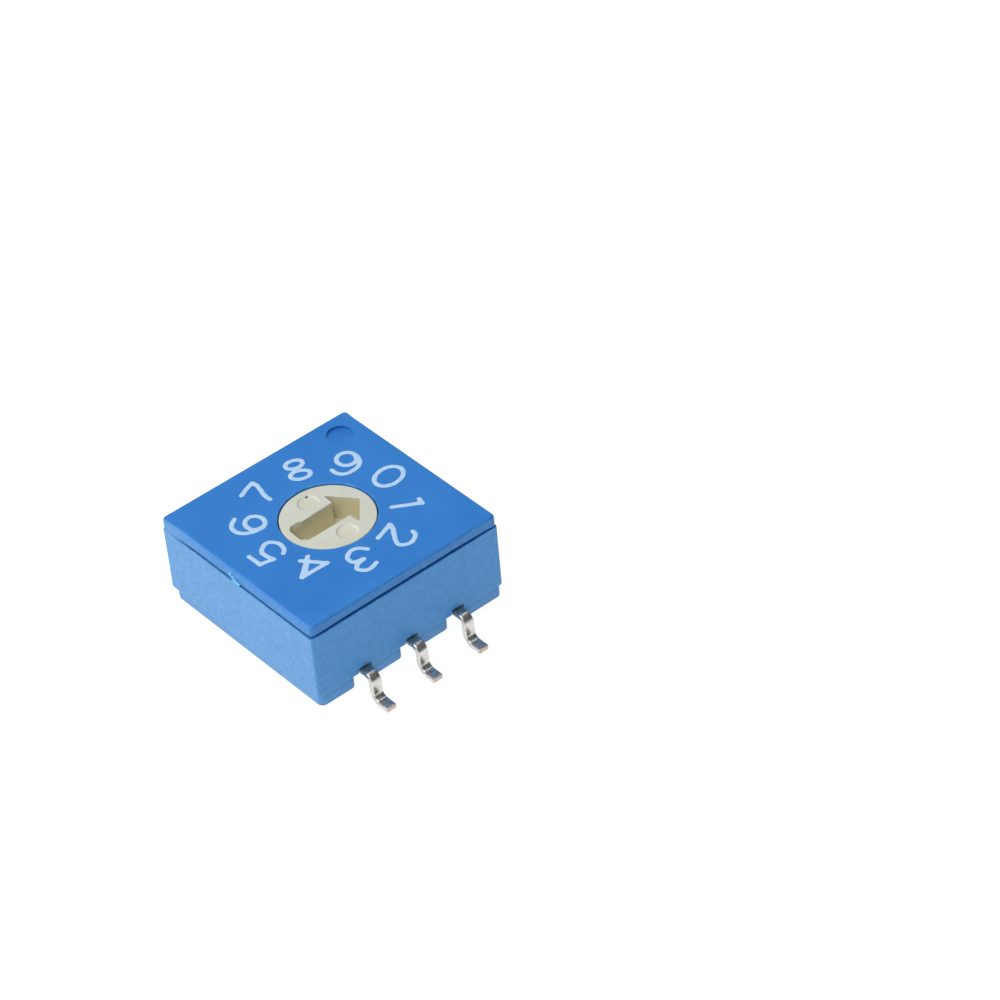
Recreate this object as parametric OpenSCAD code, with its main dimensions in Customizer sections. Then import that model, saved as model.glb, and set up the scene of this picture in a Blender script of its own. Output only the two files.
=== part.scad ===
// Ten-position binary coded rotary switch with gull-wing leads, 10 mm body.
// Millimetres. Origin: centre of the body in plan, on the plane of the solder feet. +Z up.
// The row of leads 1, C, 4 is on +X; the row 8, C, 2 is on -X. The dial arrow points along +Y at position 0.

/* [Body] */
// Width of the square body
body_w = 10.1; // [10:0.05:10.3]
// Radius of the upright corners of the body
corner_r = 0.16; // [0.12:0.02:0.3]
// Height of the top face of the cover above the solder plane
top_z = 5.12; // [5.08:0.02:5.2]
// Height of the top of the housing, where the cover sits
seam_z = 4.52; // [4.48:0.02:4.56]
// Height of the open joint left all round between the cover and the housing
seam_gap = 0.09; // [0.04:0.01:0.12]
// How far the joint goes in from the side of the cover
seam_in = 0.3; // [0.2:0.05:0.35]
// Height of the parting line between the housing and the base
step_z = 1.25; // [1.23:0.01:1.27]
// Height of the underside of the base
base_z = 0.64; // [0.6:0.02:0.7]
// How far the base is set in from the housing wall
base_inset = 0.09; // [0.08:0.01:0.16]
// Wall thickness of the housing
wall = 0.8; // [0.75:0.05:0.85]
// How far the cover is set in from the housing wall
cover_inset = 0.06; // [0.04:0.01:0.1]
// Radius of the rounded top edge of the cover
cover_edge = 0.13; // [0.1:0.01:0.16]
// Running gap between the mouldings that fit into each other
fit_gap = 0.05; // [0.04:0.01:0.06]

/* [Dial] */
// Diameter of the dial
dial_d = 4.16; // [4.1:0.02:4.2]
// Radial gap between the dial and its bore
dial_gap = 0.05; // [0.04:0.01:0.08]
// Depth of the arrow slot
slot_depth = 1.25; // [1.1:0.05:1.3]
// Width of the shaft of the arrow slot
slot_w = 1.18; // [1.1:0.02:1.24]
// Diameter of the round ejector marks on the dial
mark_d = 0.96; // [0.8:0.02:1]
// Depth of the round ejector marks on the dial
mark_depth = 0.09; // [0.05:0.01:0.12]

/* [Leads] */
// Distance between neighbouring leads
pitch = 2.54; // [2.54:0.01:2.54]
// Width of a lead
lead_w = 0.52; // [0.48:0.01:0.56]
// Thickness of a lead
lead_t = 0.25; // [0.24:0.01:0.25]
// Height of the upper face of a lead where it leaves the body
lead_top = 1.465; // [1.46:0.005:1.47]
// Distance from the body centre to the tip of a foot
foot_end = 6.58; // [6.4:0.02:6.8]
// Distance from the body centre to the outer face of a leg
leg_out = 5.77; // [5.74:0.01:5.8]
// Inside bend radius at the shoulder
bend_in = 0.22; // [0.10:0.01:0.25]
// Inside bend radius at the foot
heel_in = 0.30; // [0.26:0.02:0.32]

/* [Base details] */
// Width of the notch round each lead
notch_w = 1.02; // [0.9:0.02:1.1]
// Depth of the notch from the side of the base
notch_d = 0.8; // [0.7:0.05:0.85]
// Height of the corner feet under the base
boss_h = 0.2; // [0.1:0.02:0.24]
// Diameter of the corner feet under the base
boss_d = 0.96; // [0.8:0.02:1]
// Depth of the sunk panel in the underside
panel_depth = 0.2; // [0.1:0.02:0.24]

/* [Mechanism] */
// Number of dial positions
positions = 10; // [10]
// Height of the underside of the code disc
disc_z = 2.15; // [2.13:0.01:2.16]
// Thickness of the code disc
disc_t = 0.12; // [0.1:0.01:0.12]
// Radial width of a contact track
track_w = 0.32; // [0.28:0.02:0.32]
// Gap left between a contact finger and the code disc
finger_gap = 0.03; // [0.02:0.01:0.05]

/* [Hidden] */
$fn = 64;
e = 0.5;                         // overlap of cutting tools past a face
half = body_w / 2;
bhalf = half - base_inset;
chalf = half - cover_inset;      // half width of the cover
cav = half - wall;               // half width of the square cavity
plug = cav - fit_gap;            // half width of what fits in the cavity
dial_r = dial_d / 2;
bore_r = dial_r + dial_gap;
lead_bot = lead_top - lead_t;
leg_in = leg_out - lead_t;       // inner face of a leg
frame_floor = lead_top;          // floor of the base, flush with the lead frames
step = 360 / positions;

// contact tracks on the code disc, from the middle outwards
track_r = [1.45, 1.87, 2.33, 2.75, 3.17];   // 1, common, 8, 4, 2
// direction from the dial centre to the contact point of each finger
dir_1 = 270; dir_c = 180; dir_8 = 270; dir_4 = 90; dir_2 = 90;

plastic_blue = [0.20, 0.47, 0.79];
ivory = [0.85, 0.83, 0.76];
tin = [0.80, 0.79, 0.76];

module ring(ro, ri, h) difference() {
    cylinder(h = h, r = ro);
    translate([0, 0, -e]) cylinder(h = h + 2 * e, r = ri);
}

// square plate with rounded upright corners
module plate(hw, r, h) {
    translate([-hw + r, -hw, 0]) cube([2 * (hw - r), 2 * hw, h]);
    translate([-hw, -hw + r, 0]) cube([2 * hw, 2 * (hw - r), h]);
    for (x = [-1, 1], y = [-1, 1]) translate([x * (hw - r), y * (hw - r), 0]) cylinder(h = h, r = r);
}

// block centred on x and y
module block(x, y, z0, sx, sy, z1) translate([x - sx / 2, y - sy / 2, z0]) cube([sx, sy, z1 - z0]);

// wedge of a ring between two angles, as a flat outline
module sector(r0, r1, a0, a1) {
    n = max(1, ceil((a1 - a0) / 30));
    intersection() {
        difference() { circle(r = r1); circle(r = r0); }
        polygon(concat([[0, 0]], [for (i = [0:n]) 2 * r1 * [cos(a0 + (a1 - a0) * i / n), sin(a0 + (a1 - a0) * i / n)]]));
    }
}

// ---------------------------------------------------------------- cover
// outer shell with its top edge rounded in three steps
module cover_shell() hull() for (x = [-1, 1], y = [-1, 1], a = [0, 30, 60, 90])
    translate([x * (chalf - 0.18), y * (chalf - 0.18), seam_z + seam_gap])
        cylinder(h = top_z - seam_z - seam_gap - cover_edge * (1 - sin(a)), r = 0.18 - cover_edge * (1 - cos(a)), $fn = 32);

module cover() color(plastic_blue) difference() {
    union() {
        cover_shell();
        // seat on the housing, set in so that a joint stays open round it
        plate_at(chalf - seam_in, 0.2, seam_z, seam_z + seam_gap + 0.05);
        // gate stub on the lower edge of one side
        translate([-0.4, -half + 0.01, seam_z + 0.03]) cube([0.74, 0.3, 0.2]);
        // rim that fits down into the housing
        difference() {
            plate_at(plug, 0.3, seam_z - 0.4, seam_z);
            plate_at(plug - 0.7, 0.3, seam_z - 0.5, seam_z);
        }
        // tube that holds the seal round the dial
        translate([0, 0, 3.6]) cylinder(h = seam_z - 3.6, r = 3.15);
    }
    translate([0, 0, seam_z - 2]) cylinder(h = top_z, r = bore_r);
    translate([0, 0, 3.6 - e]) cylinder(h = 0.5 + e, r = 2.7);
    // shallow round mark between the 8 and the corner
    translate([-3.92, 3.84, top_z - 0.09]) cylinder(h = 1, r = 0.57);
}
module plate_at(hw, r, z0, z1) translate([0, 0, z0]) plate(hw, r, z1 - z0);

// ---------------------------------------------------------------- housing
module housing() color(plastic_blue) union() { housing_ring(); spring_ribs(); }
module housing_ring() difference() {
    union() {
        plate_at(half, corner_r, step_z + 0.1, seam_z);
        plate_at(half - 0.06, corner_r, step_z, step_z + 0.1);
    }
    translate([-cav, -cav, step_z - e]) cube([2 * cav, 2 * cav, seam_z - step_z + 2 * e]);
    // passages for the leads
    for (s = [-1, 1], k = [-1:1])
        block(s * half, k * pitch, step_z - e, 2 * wall + 1, lead_w, lead_top);
}
// ribs in two corners that hold the ends of the detent spring against the wall
module spring_ribs() for (s = [-1, 1]) block(s * (cav - 0.15), cav - 0.28, 2.72, 0.5, 0.24, 3.5);

// ---------------------------------------------------------------- base
// one numeral or letter stroke, seen from below: x runs along +X and y runs along -Y
module bar(x0, y0, x1, y1, w, z0, h) {
    l = norm([x1 - x0, y1 - y0]);
    translate([x0, -y0, z0]) rotate(-atan2(y1 - y0, x1 - x0)) translate([0, -w / 2, 0]) cube([l, w, h]);
    translate([x0, -y0, z0]) cylinder(h = h, r = w / 2, $fn = 16);
    translate([x1, -y1, z0]) cylinder(h = h, r = w / 2, $fn = 16);
}
module arc_bar(x, y, r, a0, a1, w, z0, h) {
    translate([x, -y, z0]) linear_extrude(h) sector(r - w / 2, r + w / 2, -a1, -a0);
    for (a = [a0, a1]) translate([x + r * cos(a), -y - r * sin(a), z0]) cylinder(h = h, r = w / 2, $fn = 16);
}
module marks(z0, h) {
    w = 0.13;
    // 8
    translate([-1.05, -2.95, 0]) { ring_at(0, 0.32, 0.27, w, z0, h); ring_at(0, -0.3, 0.33, w, z0, h); }
    // C, twice
    for (p = [[-2.0, -0.1], [2.1, -0.12]]) translate([p[0], p[1], 0]) arc_bar(0, 0, 0.5, 48, 312, w, z0, h);
    // 2
    translate([-1.05, 3.0, 0]) {
        arc_bar(0, 0.28, 0.31, -25, 165, w, z0, h);
        bar(0.28, 0.15, -0.33, -0.58, w, z0, h);
        bar(-0.33, -0.58, 0.36, -0.58, w, z0, h);
    }
    // 1
    translate([2.2, -3.0, 0]) { bar(0.08, 0.6, 0.08, -0.6, w, z0, h); bar(0.08, 0.6, -0.2, 0.36, w, z0, h); }
    // 4
    translate([1.35, 2.9, 0]) {
        bar(0.14, 0.6, 0.14, -0.6, w, z0, h);
        bar(0.14, 0.6, -0.34, -0.2, w, z0, h);
        bar(-0.34, -0.2, 0.36, -0.2, w, z0, h);
    }
}
module ring_at(x, y, r, w, z0, h) translate([x, -y, z0]) ring(r + w / 2, r - w / 2, h);

// holes through which the lead frames were held in the mould
HOLES = [[-2.15, -2.55], [-2.15, 1.4], [-2.15, 3.5], [2.35, -1.55], [2.32, 2.65]];

module base_plate() difference() {
    union() {
        plate_at(bhalf, 0.16, base_z + 0.07, step_z);
        plate_at(bhalf - 0.07, 0.16, base_z, base_z + 0.07);
    }
    // notch round each lead, with rounded corners on its mouth
    for (s = [-1, 1], k = [-1:1]) block(s * (bhalf - notch_d / 2 + e / 2), k * pitch, base_z - e, notch_d + e, notch_w, step_z + e);
    for (s = [-1, 1], k = [-1:1], j = [-1, 1])
        translate([s * bhalf, k * pitch + j * notch_w / 2, base_z - e]) scale([s, j, 1]) fillet_cut(0.2, 2);
    // sunk panel
    block(0, 0, base_z - e, 5.92, 7.86, base_z + panel_depth);
}
// what is removed to round an outside corner that lies at the origin, with the solid at -x, +y
module fillet_cut(r, h) difference() {
    translate([-r, -e, 0]) cube([r + e, r + e, h]);
    translate([-r, r, -1]) cylinder(h = h + 2, r = r, $fn = 32);
    translate([-r - e, -2 * e, -1]) cube([e, 3 * e, h + 2]);
}

module base() color(plastic_blue) difference() {
    union() {
        base_plate();
        // corner feet
        for (x = [-1, 1], y = [-1, 1]) translate([x * 4.28, y * 4.28, base_z - boss_h]) cylinder(h = boss_h + 0.1, r = boss_d / 2);
        // raised square with its shallow round mark
        block(0, 0, base_z + 0.03, 2.76, 2.76, base_z + panel_depth + 0.01);
        // raised generic terminal marks in the sunk panel
        marks(base_z + panel_depth - 0.06, 0.07);
        // plateau that fits into the housing, flush with the lead frames
        plate_at(plug, 0.3, step_z - 0.01, frame_floor);
        // bearing for the lower pin of the dial
        translate([0, 0, frame_floor - 0.01]) cylinder(h = 0.56, r = 1.12);
    }
    translate([0, 0, 0.98]) cylinder(h = 3, r = 0.78);
    translate([0, 0, base_z - e]) cylinder(h = e + 0.15, r = 0.6);
    for (p = HOLES) translate([p[0], p[1], base_z - e]) cylinder(h = 3, r = 0.3);
    // seats of the five lead frames
    frame_1(); frame_2(); frame_4(); frame_8(); frame_c();
    // pockets under the fingers
    block(0.95, -track_r[0], lead_bot - 0.02, 1.5, 0.5, 4);
    block(-0.55, -track_r[2], lead_bot - 0.02, 1.5, 0.42, 4);
    block(0.75, track_r[3], lead_bot - 0.02, 1.9, 0.42, 4);
    block(-0.55, track_r[4], lead_bot - 0.02, 1.5, 0.42, 4);
    block(-track_r[1], 0.35, lead_bot - 0.02, 0.42, 1.1, 4);
}

// ---------------------------------------------------------------- rotor
// windows of one track: the positions at which its bit is off
module windows(t, dir, first, last, c) linear_extrude(disc_t) 
    sector(track_r[t] - track_w / 2 + c, track_r[t] + track_w / 2 - c,
           dir + (first - 0.5) * step + asin(c / track_r[t]), dir + (last + 0.5) * step - asin(c / track_r[t]));
module all_windows(c) {
    for (k = [0, 2, 4, 6, 8]) windows(0, dir_1, k, k, c);       // bit 1 is off at 0 2 4 6 8
    windows(4, dir_2, 4, 5, c); windows(4, dir_2, 8, 11, c);    // bit 2 is off at 4 5 and 8 9 0 1
    windows(3, dir_4, 8, 13, c);                                // bit 4 is off at 8 9 0 1 2 3
    windows(2, dir_8, 0, 7, c);                                 // bit 8 is off at 0 to 7
}

module arrow() polygon([[0, 1.74], [1.14, 0.80], [1.10, 0.74], [slot_w / 2, 0.74], [slot_w / 2, -1.08],
                        [slot_w / 2 + 0.06, -1.2], [slot_w / 2 + 0.06, -1.45], [slot_w / 2 - 0.22, -1.73],
                        [-slot_w / 2 + 0.22, -1.73], [-slot_w / 2 - 0.06, -1.45], [-slot_w / 2 - 0.06, -1.2],
                        [-slot_w / 2, -1.08], [-slot_w / 2, 0.74], [-1.10, 0.74], [-1.14, 0.80]]);

module rotor() color(ivory) difference() {
    union() {
        translate([0, 0, 1.08]) cylinder(h = 1.3, r = 0.75);
        translate([0, 0, disc_z + disc_t]) cylinder(h = 0.48, r = 3.75);
        translate([0, 0, disc_z]) all_windows(0.03);
        // staking pegs that hold the code disc
        for (a = [0, 90, 180, 270]) rotate(a + 45) translate([3.53, 0, disc_z - 0.06]) cylinder(h = 0.3, r = 0.13, $fn = 24);
        // star wheel
        translate([0, 0, 2.7]) difference() {
            cylinder(h = 0.76, r = 3.3);
            for (k = [0:positions - 1]) rotate(90 + k * step) translate([3.62, 0, -e]) cylinder(h = 2, r = 0.75, $fn = 32);
        }
        translate([0, 0, 3.4]) cylinder(h = top_z - 3.4, r = dial_r);
    }
    translate([0, 0, top_z - slot_depth]) linear_extrude(slot_depth + e) arrow();
    for (s = [-1, 1]) translate([s * 1.3, 0, top_z - mark_depth]) cylinder(h = 1, r = mark_d / 2);
}

module o_ring() color([0.16, 0.16, 0.17]) translate([0, 0, 3.46 + 0.29]) rotate_extrude() translate([dial_r + 0.28, 0]) circle(r = 0.28, $fn = 32);

module code_disc() color([0.83, 0.68, 0.35]) translate([0, 0, disc_z]) difference() {
    cylinder(h = disc_t, r = 3.72);
    translate([0, 0, -e]) cylinder(h = 2, r = 1.2);
    translate([0, 0, -disc_t]) for (i = [0:2]) translate([0, 0, i * disc_t]) all_windows(0);
    for (a = [0, 90, 180, 270]) rotate(a + 45) translate([3.53, 0, -e]) cylinder(h = 2, r = 0.13, $fn = 24);
}

// ---------------------------------------------------------------- detent spring
// strip standing on edge along the +Y wall; its middle drops into a notch of the star wheel
spring_t = 0.1;
function spring_y(x) = cav - 0.12 - 0.62 * pow(cos(90 * x / 3.9), 2) - 0.42 * exp(-pow(x / 0.42, 2));
spring_n = 40;
module detent_spring() color([0.75, 0.76, 0.78]) translate([0, 0, 2.8]) linear_extrude(0.62)
    polygon(concat([for (i = [0:spring_n]) let(x = -3.9 + 7.8 * i / spring_n) [x, spring_y(x)]],
                   [for (i = [spring_n:-1:0]) let(x = -3.9 + 7.8 * i / spring_n) [x, spring_y(x) + spring_t]]));

// ---------------------------------------------------------------- leads
// formed lead on the +X side at height zero of its row, from inside the body to the tip of the foot
module formed_lead() {
    in_x = 4.0;
    sx = leg_out - bend_in - lead_t;   // centre of the shoulder bend
    sz = lead_top - bend_in - lead_t;
    hx = leg_out + heel_in;            // centre of the heel bend
    hz = lead_t + heel_in;
    translate([in_x, -lead_w / 2, lead_bot]) cube([sx - in_x, lead_w, lead_t]);
    translate([sx, 0, sz]) bend(0, bend_in);
    translate([leg_in, -lead_w / 2, hz]) cube([lead_t, lead_w, sz - hz]);
    translate([hx, 0, hz]) bend(180, heel_in);
    translate([hx, -lead_w / 2, 0]) cube([foot_end - hx, lead_w, lead_t]);
}
// quarter bend of a strip about an axis along Y, starting at angle a in the XZ plane
module bend(a, ri) translate([0, lead_w / 2, 0]) rotate([90, 0, 0]) rotate(a) intersection() {
    ring(ri + lead_t, ri, lead_w);
    translate([0, 0, -e]) cube([2, 2, lead_w + 2 * e]);
}
// contact finger that starts at the origin on the lead-frame plane and runs along +X to its tip at x = l
module finger(l) {
    w = 0.26;
    top = disc_z - finger_gap;
    rise = top - 0.12 - lead_top;
    translate([0, w / 2, 0]) rotate([90, 0, 0]) linear_extrude(w)
        polygon([[-0.02, lead_bot], [0.12, lead_bot], [l - 0.28, lead_bot + rise + 0.04], [l, lead_bot + rise + 0.1],
                 [l + 0.3, lead_bot + rise - 0.08], [l + 0.3, lead_top + rise - 0.06], [l + 0.06, top], [l - 0.06, top],
                 [l - 0.3, lead_top + rise], [0.06, lead_top], [-0.02, lead_top]]);
}
module pad(x, y, sx, sy) block(x, y, lead_bot, sx, sy, lead_top);

module frame_1() { translate([0, -pitch, 0]) formed_lead();
    pad(3.3, -pitch, 1.5, lead_w); pad(2.75, -2.03, 0.4, 1.5); pad(2.3, -1.5, 1.2, 0.8);
    translate([1.75, -track_r[0], 0]) rotate(180) finger(1.75); }
module frame_4() { translate([0, pitch, 0]) formed_lead();
    pad(3.1, pitch, 1.9, lead_w); pad(2.3, 2.72, 1.2, 0.8);
    translate([1.75, track_r[3], 0]) rotate(180) finger(1.75); }
module frame_8() { translate([0, -pitch, 0]) mirror([1, 0, 0]) formed_lead();
    pad(-3.1, -pitch, 1.9, lead_w); pad(-2.05, -2.48, 1.1, 0.8);
    translate([-1.55, -track_r[2], 0]) finger(1.55); }
module frame_2() { translate([0, pitch, 0]) mirror([1, 0, 0]) formed_lead();
    pad(-3.5, pitch, 1.1, lead_w); pad(-3.1, 2.95, 0.5, 1.35); pad(-2.2, 3.35, 1.3, 0.75);
    translate([-1.6, track_r[4], 0]) finger(1.6); }
module frame_c() { formed_lead(); mirror([1, 0, 0]) formed_lead();
    pad(-3.4, 0, 1.3, lead_w); pad(-3.0, 0.7, 0.5, 1.9); pad(0, 1.4, 6.5, 0.5); pad(3.0, 0.7, 0.5, 1.9); pad(3.4, 0, 1.3, lead_w);
    pad(-2.1, 1.35, 0.8, 0.8);
    translate([-track_r[1], 1.0, 0]) rotate(-90) finger(1.0); }

module terminal_1() color(tin) frame_1();
module terminal_2() color(tin) frame_2();
module terminal_4() color(tin) frame_4();
module terminal_8() color(tin) frame_8();
module terminal_common() color(tin) frame_c();

cover();
housing();
base();
rotor();
o_ring();
code_disc();
detent_spring();
terminal_1();
terminal_2();
terminal_4();
terminal_8();
terminal_common();
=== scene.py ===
"""Looks of the ten-position coded rotary switch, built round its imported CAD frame.

Meshes are built in millimetres in the CAD frame and scaled to metres when they are finished.
"""
import math

import bmesh
import bpy
import numpy as np
from mathutils import Matrix, Quaternion, Vector, noise


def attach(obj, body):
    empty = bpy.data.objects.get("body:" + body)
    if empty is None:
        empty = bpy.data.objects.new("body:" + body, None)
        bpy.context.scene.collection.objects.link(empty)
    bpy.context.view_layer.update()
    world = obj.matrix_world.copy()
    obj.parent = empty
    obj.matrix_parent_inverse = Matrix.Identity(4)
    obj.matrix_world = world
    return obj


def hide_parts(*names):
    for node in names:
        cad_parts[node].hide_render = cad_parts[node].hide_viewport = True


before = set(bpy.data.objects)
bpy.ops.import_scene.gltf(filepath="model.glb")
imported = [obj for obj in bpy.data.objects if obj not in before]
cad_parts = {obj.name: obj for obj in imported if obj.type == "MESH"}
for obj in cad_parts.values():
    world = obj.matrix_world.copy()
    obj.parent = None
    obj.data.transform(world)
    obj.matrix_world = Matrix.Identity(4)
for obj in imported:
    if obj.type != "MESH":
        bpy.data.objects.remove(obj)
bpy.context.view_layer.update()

MM = 0.001
scene = bpy.context.scene

# ------------------------------------------------------------------ dimensions, mm, as in the CAD source
HALF = 5.05          # housing half width
CHALF = 4.99         # cover half width
BHALF = 4.985        # base half width
TOP = 5.12
SEAM = 4.52
GAP = 0.09
STEP = 1.25
BASE = 0.64
CAV = 4.25
PLUG = 4.20
BORE = 2.145
BORE_AT = (-0.033, 0.025)      # the bore of this cover is slightly off centre
DIAL = 2.08
LEAD_TOP = 1.465
LEAD_T = 0.25
LEAD_W = 0.52
PITCH = 2.54
HOLES = [(-2.15, -2.55), (-2.15, 1.40), (-2.15, 3.50), (2.35, -1.55), (2.32, 2.65)]


# ------------------------------------------------------------------ mesh tools
def new_object(name, verts, faces, face_mats=None):
    me = bpy.data.meshes.new(name)
    me.from_pydata([tuple(v) for v in verts], [], faces)
    if face_mats:
        me.polygons.foreach_set("material_index", face_mats)
    bm = bmesh.new()
    bm.from_mesh(me)
    bmesh.ops.recalc_face_normals(bm, faces=bm.faces)
    bm.to_mesh(me)
    bm.free()
    ob = bpy.data.objects.new(name, me)
    scene.collection.objects.link(ob)
    return ob


CSEG, SSEG = 6, 26


def square_loop(h, r, z, dip=None):
    """Rounded square, counter-clockwise from the start of the +X+Y corner."""
    out = []
    for q in range(4):
        a0 = math.radians(90 * q)
        cx = (h - r) * (1 if q in (0, 3) else -1)
        cy = (h - r) * (1 if q in (0, 1) else -1)
        arc = [(cx + r * math.cos(a0 + math.pi / 2 * k / CSEG), cy + r * math.sin(a0 + math.pi / 2 * k / CSEG))
               for k in range(CSEG + 1)]
        out += arc
        ncx = (h - r) * (1 if (q + 1) % 4 in (0, 3) else -1)
        ncy = (h - r) * (1 if (q + 1) % 4 in (0, 1) else -1)
        a1 = a0 + math.pi / 2
        end = (ncx + r * math.cos(a1), ncy + r * math.sin(a1))
        beg = arc[-1]
        for k in range(1, SSEG):
            t = k / SSEG
            out.append((beg[0] + (end[0] - beg[0]) * t, beg[1] + (end[1] - beg[1]) * t))
    return [(x, y, z + (dip(x, y) if dip else 0.0)) for x, y in out]


def ring(h, r, z, move):
    """Rounded square whose points are shifted along the outward normal and in z by move(x, y) -> (out, up)."""
    flat = square_loop(h, r, z)
    n = len(flat)
    out = []
    for i, (x, y, zz) in enumerate(flat):
        ax, ay = flat[i - 1][0], flat[i - 1][1]
        bx, by = flat[(i + 1) % n][0], flat[(i + 1) % n][1]
        t = Vector((bx - ax, by - ay)).normalized()
        o, up = move(x, y)
        out.append((x + t.y * o, y - t.x * o, zz + up))
    return out


REF_ANGLES = [math.atan2(y, x) for x, y, _ in square_loop(5.0, 0.9, 0)]


def circle_loop(r, z, cx=0.0, cy=0.0):
    return [(cx + r * math.cos(a), cy + r * math.sin(a), z) for a in REF_ANGLES]


def loft(name, loops, closed=False):
    """Quads between loops with the same number of points; the last joins the first, or both ends are capped."""
    n = len(loops[0])
    verts = [p for l in loops for p in l]
    faces = []
    m = len(loops)
    for i in range(m if closed else m - 1):
        a, b = i * n, ((i + 1) % m) * n
        for k in range(n):
            k2 = (k + 1) % n
            faces.append((a + k, a + k2, b + k2, b + k))
    if not closed:
        faces.append(tuple(range(n - 1, -1, -1)))
        faces.append(tuple(range((m - 1) * n, m * n)))
    return new_object(name, verts, faces)


def lathe(name, profile, n=96, closed=False, cx=0.0, cy=0.0):
    """Turned body from (radius, z) pairs."""
    loops = [[(cx + r * math.cos(2 * math.pi * k / n), cy + r * math.sin(2 * math.pi * k / n), z) for k in range(n)]
             for r, z in profile]
    return loft(name, loops, closed)


def prism(name, outline, z0, z1, grow=None):
    """Straight body on a flat outline. grow = [(z, offset)] gives more levels with the outline moved outwards."""
    levels = [(z0, 0.0), (z1, 0.0)] if grow is None else grow
    loops = [[(x, y, z) for x, y in offset_outline(outline, d)] for z, d in levels]
    return loft(name, loops)


def offset_outline(pts, d):
    """Moves each corner of a closed counter-clockwise outline outwards by d, along its mitre."""
    if abs(d) < 1e-9:
        return list(pts)
    n = len(pts)
    out = []
    for i in range(n):
        p0, p1, p2 = Vector(pts[i - 1]), Vector(pts[i]), Vector(pts[(i + 1) % n])
        e1, e2 = (p1 - p0).normalized(), (p2 - p1).normalized()
        n1, n2 = Vector((e1.y, -e1.x)), Vector((e2.y, -e2.x))
        b = n1 + n2
        k = b.length_squared
        if k < 1e-6:
            out.append(tuple(p1 + n1 * d))
        else:
            out.append(tuple(p1 + b * (2 * d / k)))
    return out


def round_outline(pts, radii, seg=5):
    """Rounds the corners of a closed outline; radii has one radius per corner."""
    n = len(pts)
    out = []
    for i in range(n):
        r = radii[i]
        p0, p1, p2 = Vector(pts[i - 1]), Vector(pts[i]), Vector(pts[(i + 1) % n])
        if r <= 0:
            out.append(tuple(p1))
            continue
        a, b = (p0 - p1).normalized(), (p2 - p1).normalized()
        ang = a.angle(b)
        t = r / math.tan(ang / 2)
        t = min(t, 0.48 * (p0 - p1).length, 0.48 * (p2 - p1).length)
        rr = t * math.tan(ang / 2)
        s, e = p1 + a * t, p1 + b * t
        c = p1 + (a + b).normalized() * (rr / math.sin(ang / 2))
        va, vb = s - c, e - c
        sweep = va.angle(vb)
        sign = 1 if va.x * vb.y - va.y * vb.x > 0 else -1
        for k in range(seg + 1):
            th = sign * sweep * k / seg
            out.append((c.x + va.x * math.cos(th) - va.y * math.sin(th), c.y + va.x * math.sin(th) + va.y * math.cos(th)))
    return out


def box_body(name, x0, x1, y0, y1, z0, z1):
    return prism(name, [(x0, y0), (x1, y0), (x1, y1), (x0, y1)], z0, z1)


def boolean(a, tools, op="DIFFERENCE"):
    for t in tools:
        m = a.modifiers.new("b", "BOOLEAN")
        m.operation = op
        m.solver = "EXACT"
        m.object = t
        dg = bpy.context.evaluated_depsgraph_get()
        dg.update()
        me = bpy.data.meshes.new_from_object(a.evaluated_get(dg))
        a.modifiers.clear()
        old = a.data
        a.data = me
        bpy.data.meshes.remove(old)
        bpy.data.objects.remove(t, do_unlink=True)
    return a


def join(name, parts):
    bm = bmesh.new()
    for p in parts:
        bm.from_mesh(p.data)
    me = bpy.data.meshes.new(name)
    bm.to_mesh(me)
    bm.free()
    for p in parts:
        bpy.data.objects.remove(p, do_unlink=True)
    ob = bpy.data.objects.new(name, me)
    scene.collection.objects.link(ob)
    return ob


def tidy(ob, angle=0.5):
    """Merges coplanar slivers left by a cut."""
    bm = bmesh.new()
    bm.from_mesh(ob.data)
    bmesh.ops.remove_doubles(bm, verts=bm.verts, dist=1e-5)
    bmesh.ops.dissolve_degenerate(bm, dist=1e-5, edges=bm.edges)
    bmesh.ops.dissolve_limit(bm, angle_limit=math.radians(angle), verts=bm.verts, edges=bm.edges, delimit={"MATERIAL"})
    bm.to_mesh(ob.data)
    bm.free()
    return ob


def soften(ob, pick, offset, segments=3):
    """Rounds the sharp edges that pick(edge) chooses."""
    bm = bmesh.new()
    bm.from_mesh(ob.data)
    bm.normal_update()
    chosen = [e for e in bm.edges if len(e.link_faces) == 2 and abs(e.calc_face_angle(0.0)) > math.radians(38) and pick(e)]
    if chosen:
        bmesh.ops.bevel(bm, geom=chosen, offset=offset, offset_type="OFFSET", segments=segments, profile=0.5,
                        affect="EDGES", clamp_overlap=True, miter_outer="ARC", loop_slide=True)
    bm.to_mesh(ob.data)
    bm.free()
    return ob


def shade(ob, angle=40, flat_z=None):
    """Smooth shading with creases over angle; a recess whose rim lies in the flat at flat_z keeps a crease there."""
    bm = bmesh.new()
    bm.from_mesh(ob.data)
    bmesh.ops.recalc_face_normals(bm, faces=bm.faces)
    bm.normal_update()
    for f in bm.faces:
        f.smooth = True
    for e in bm.edges:
        e.smooth = not (len(e.link_faces) == 2 and abs(e.calc_face_angle(0.0)) > math.radians(angle))
        if flat_z is not None and len(e.link_faces) == 2 and all(abs(v.co.z - flat_z) < 1e-4 for v in e.verts):
            flat = [all(abs(v.co.z - flat_z) < 1e-4 for v in f.verts) for f in e.link_faces]
            if flat[0] != flat[1]:
                e.smooth = False
    bm.to_mesh(ob.data)
    bm.free()


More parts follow.
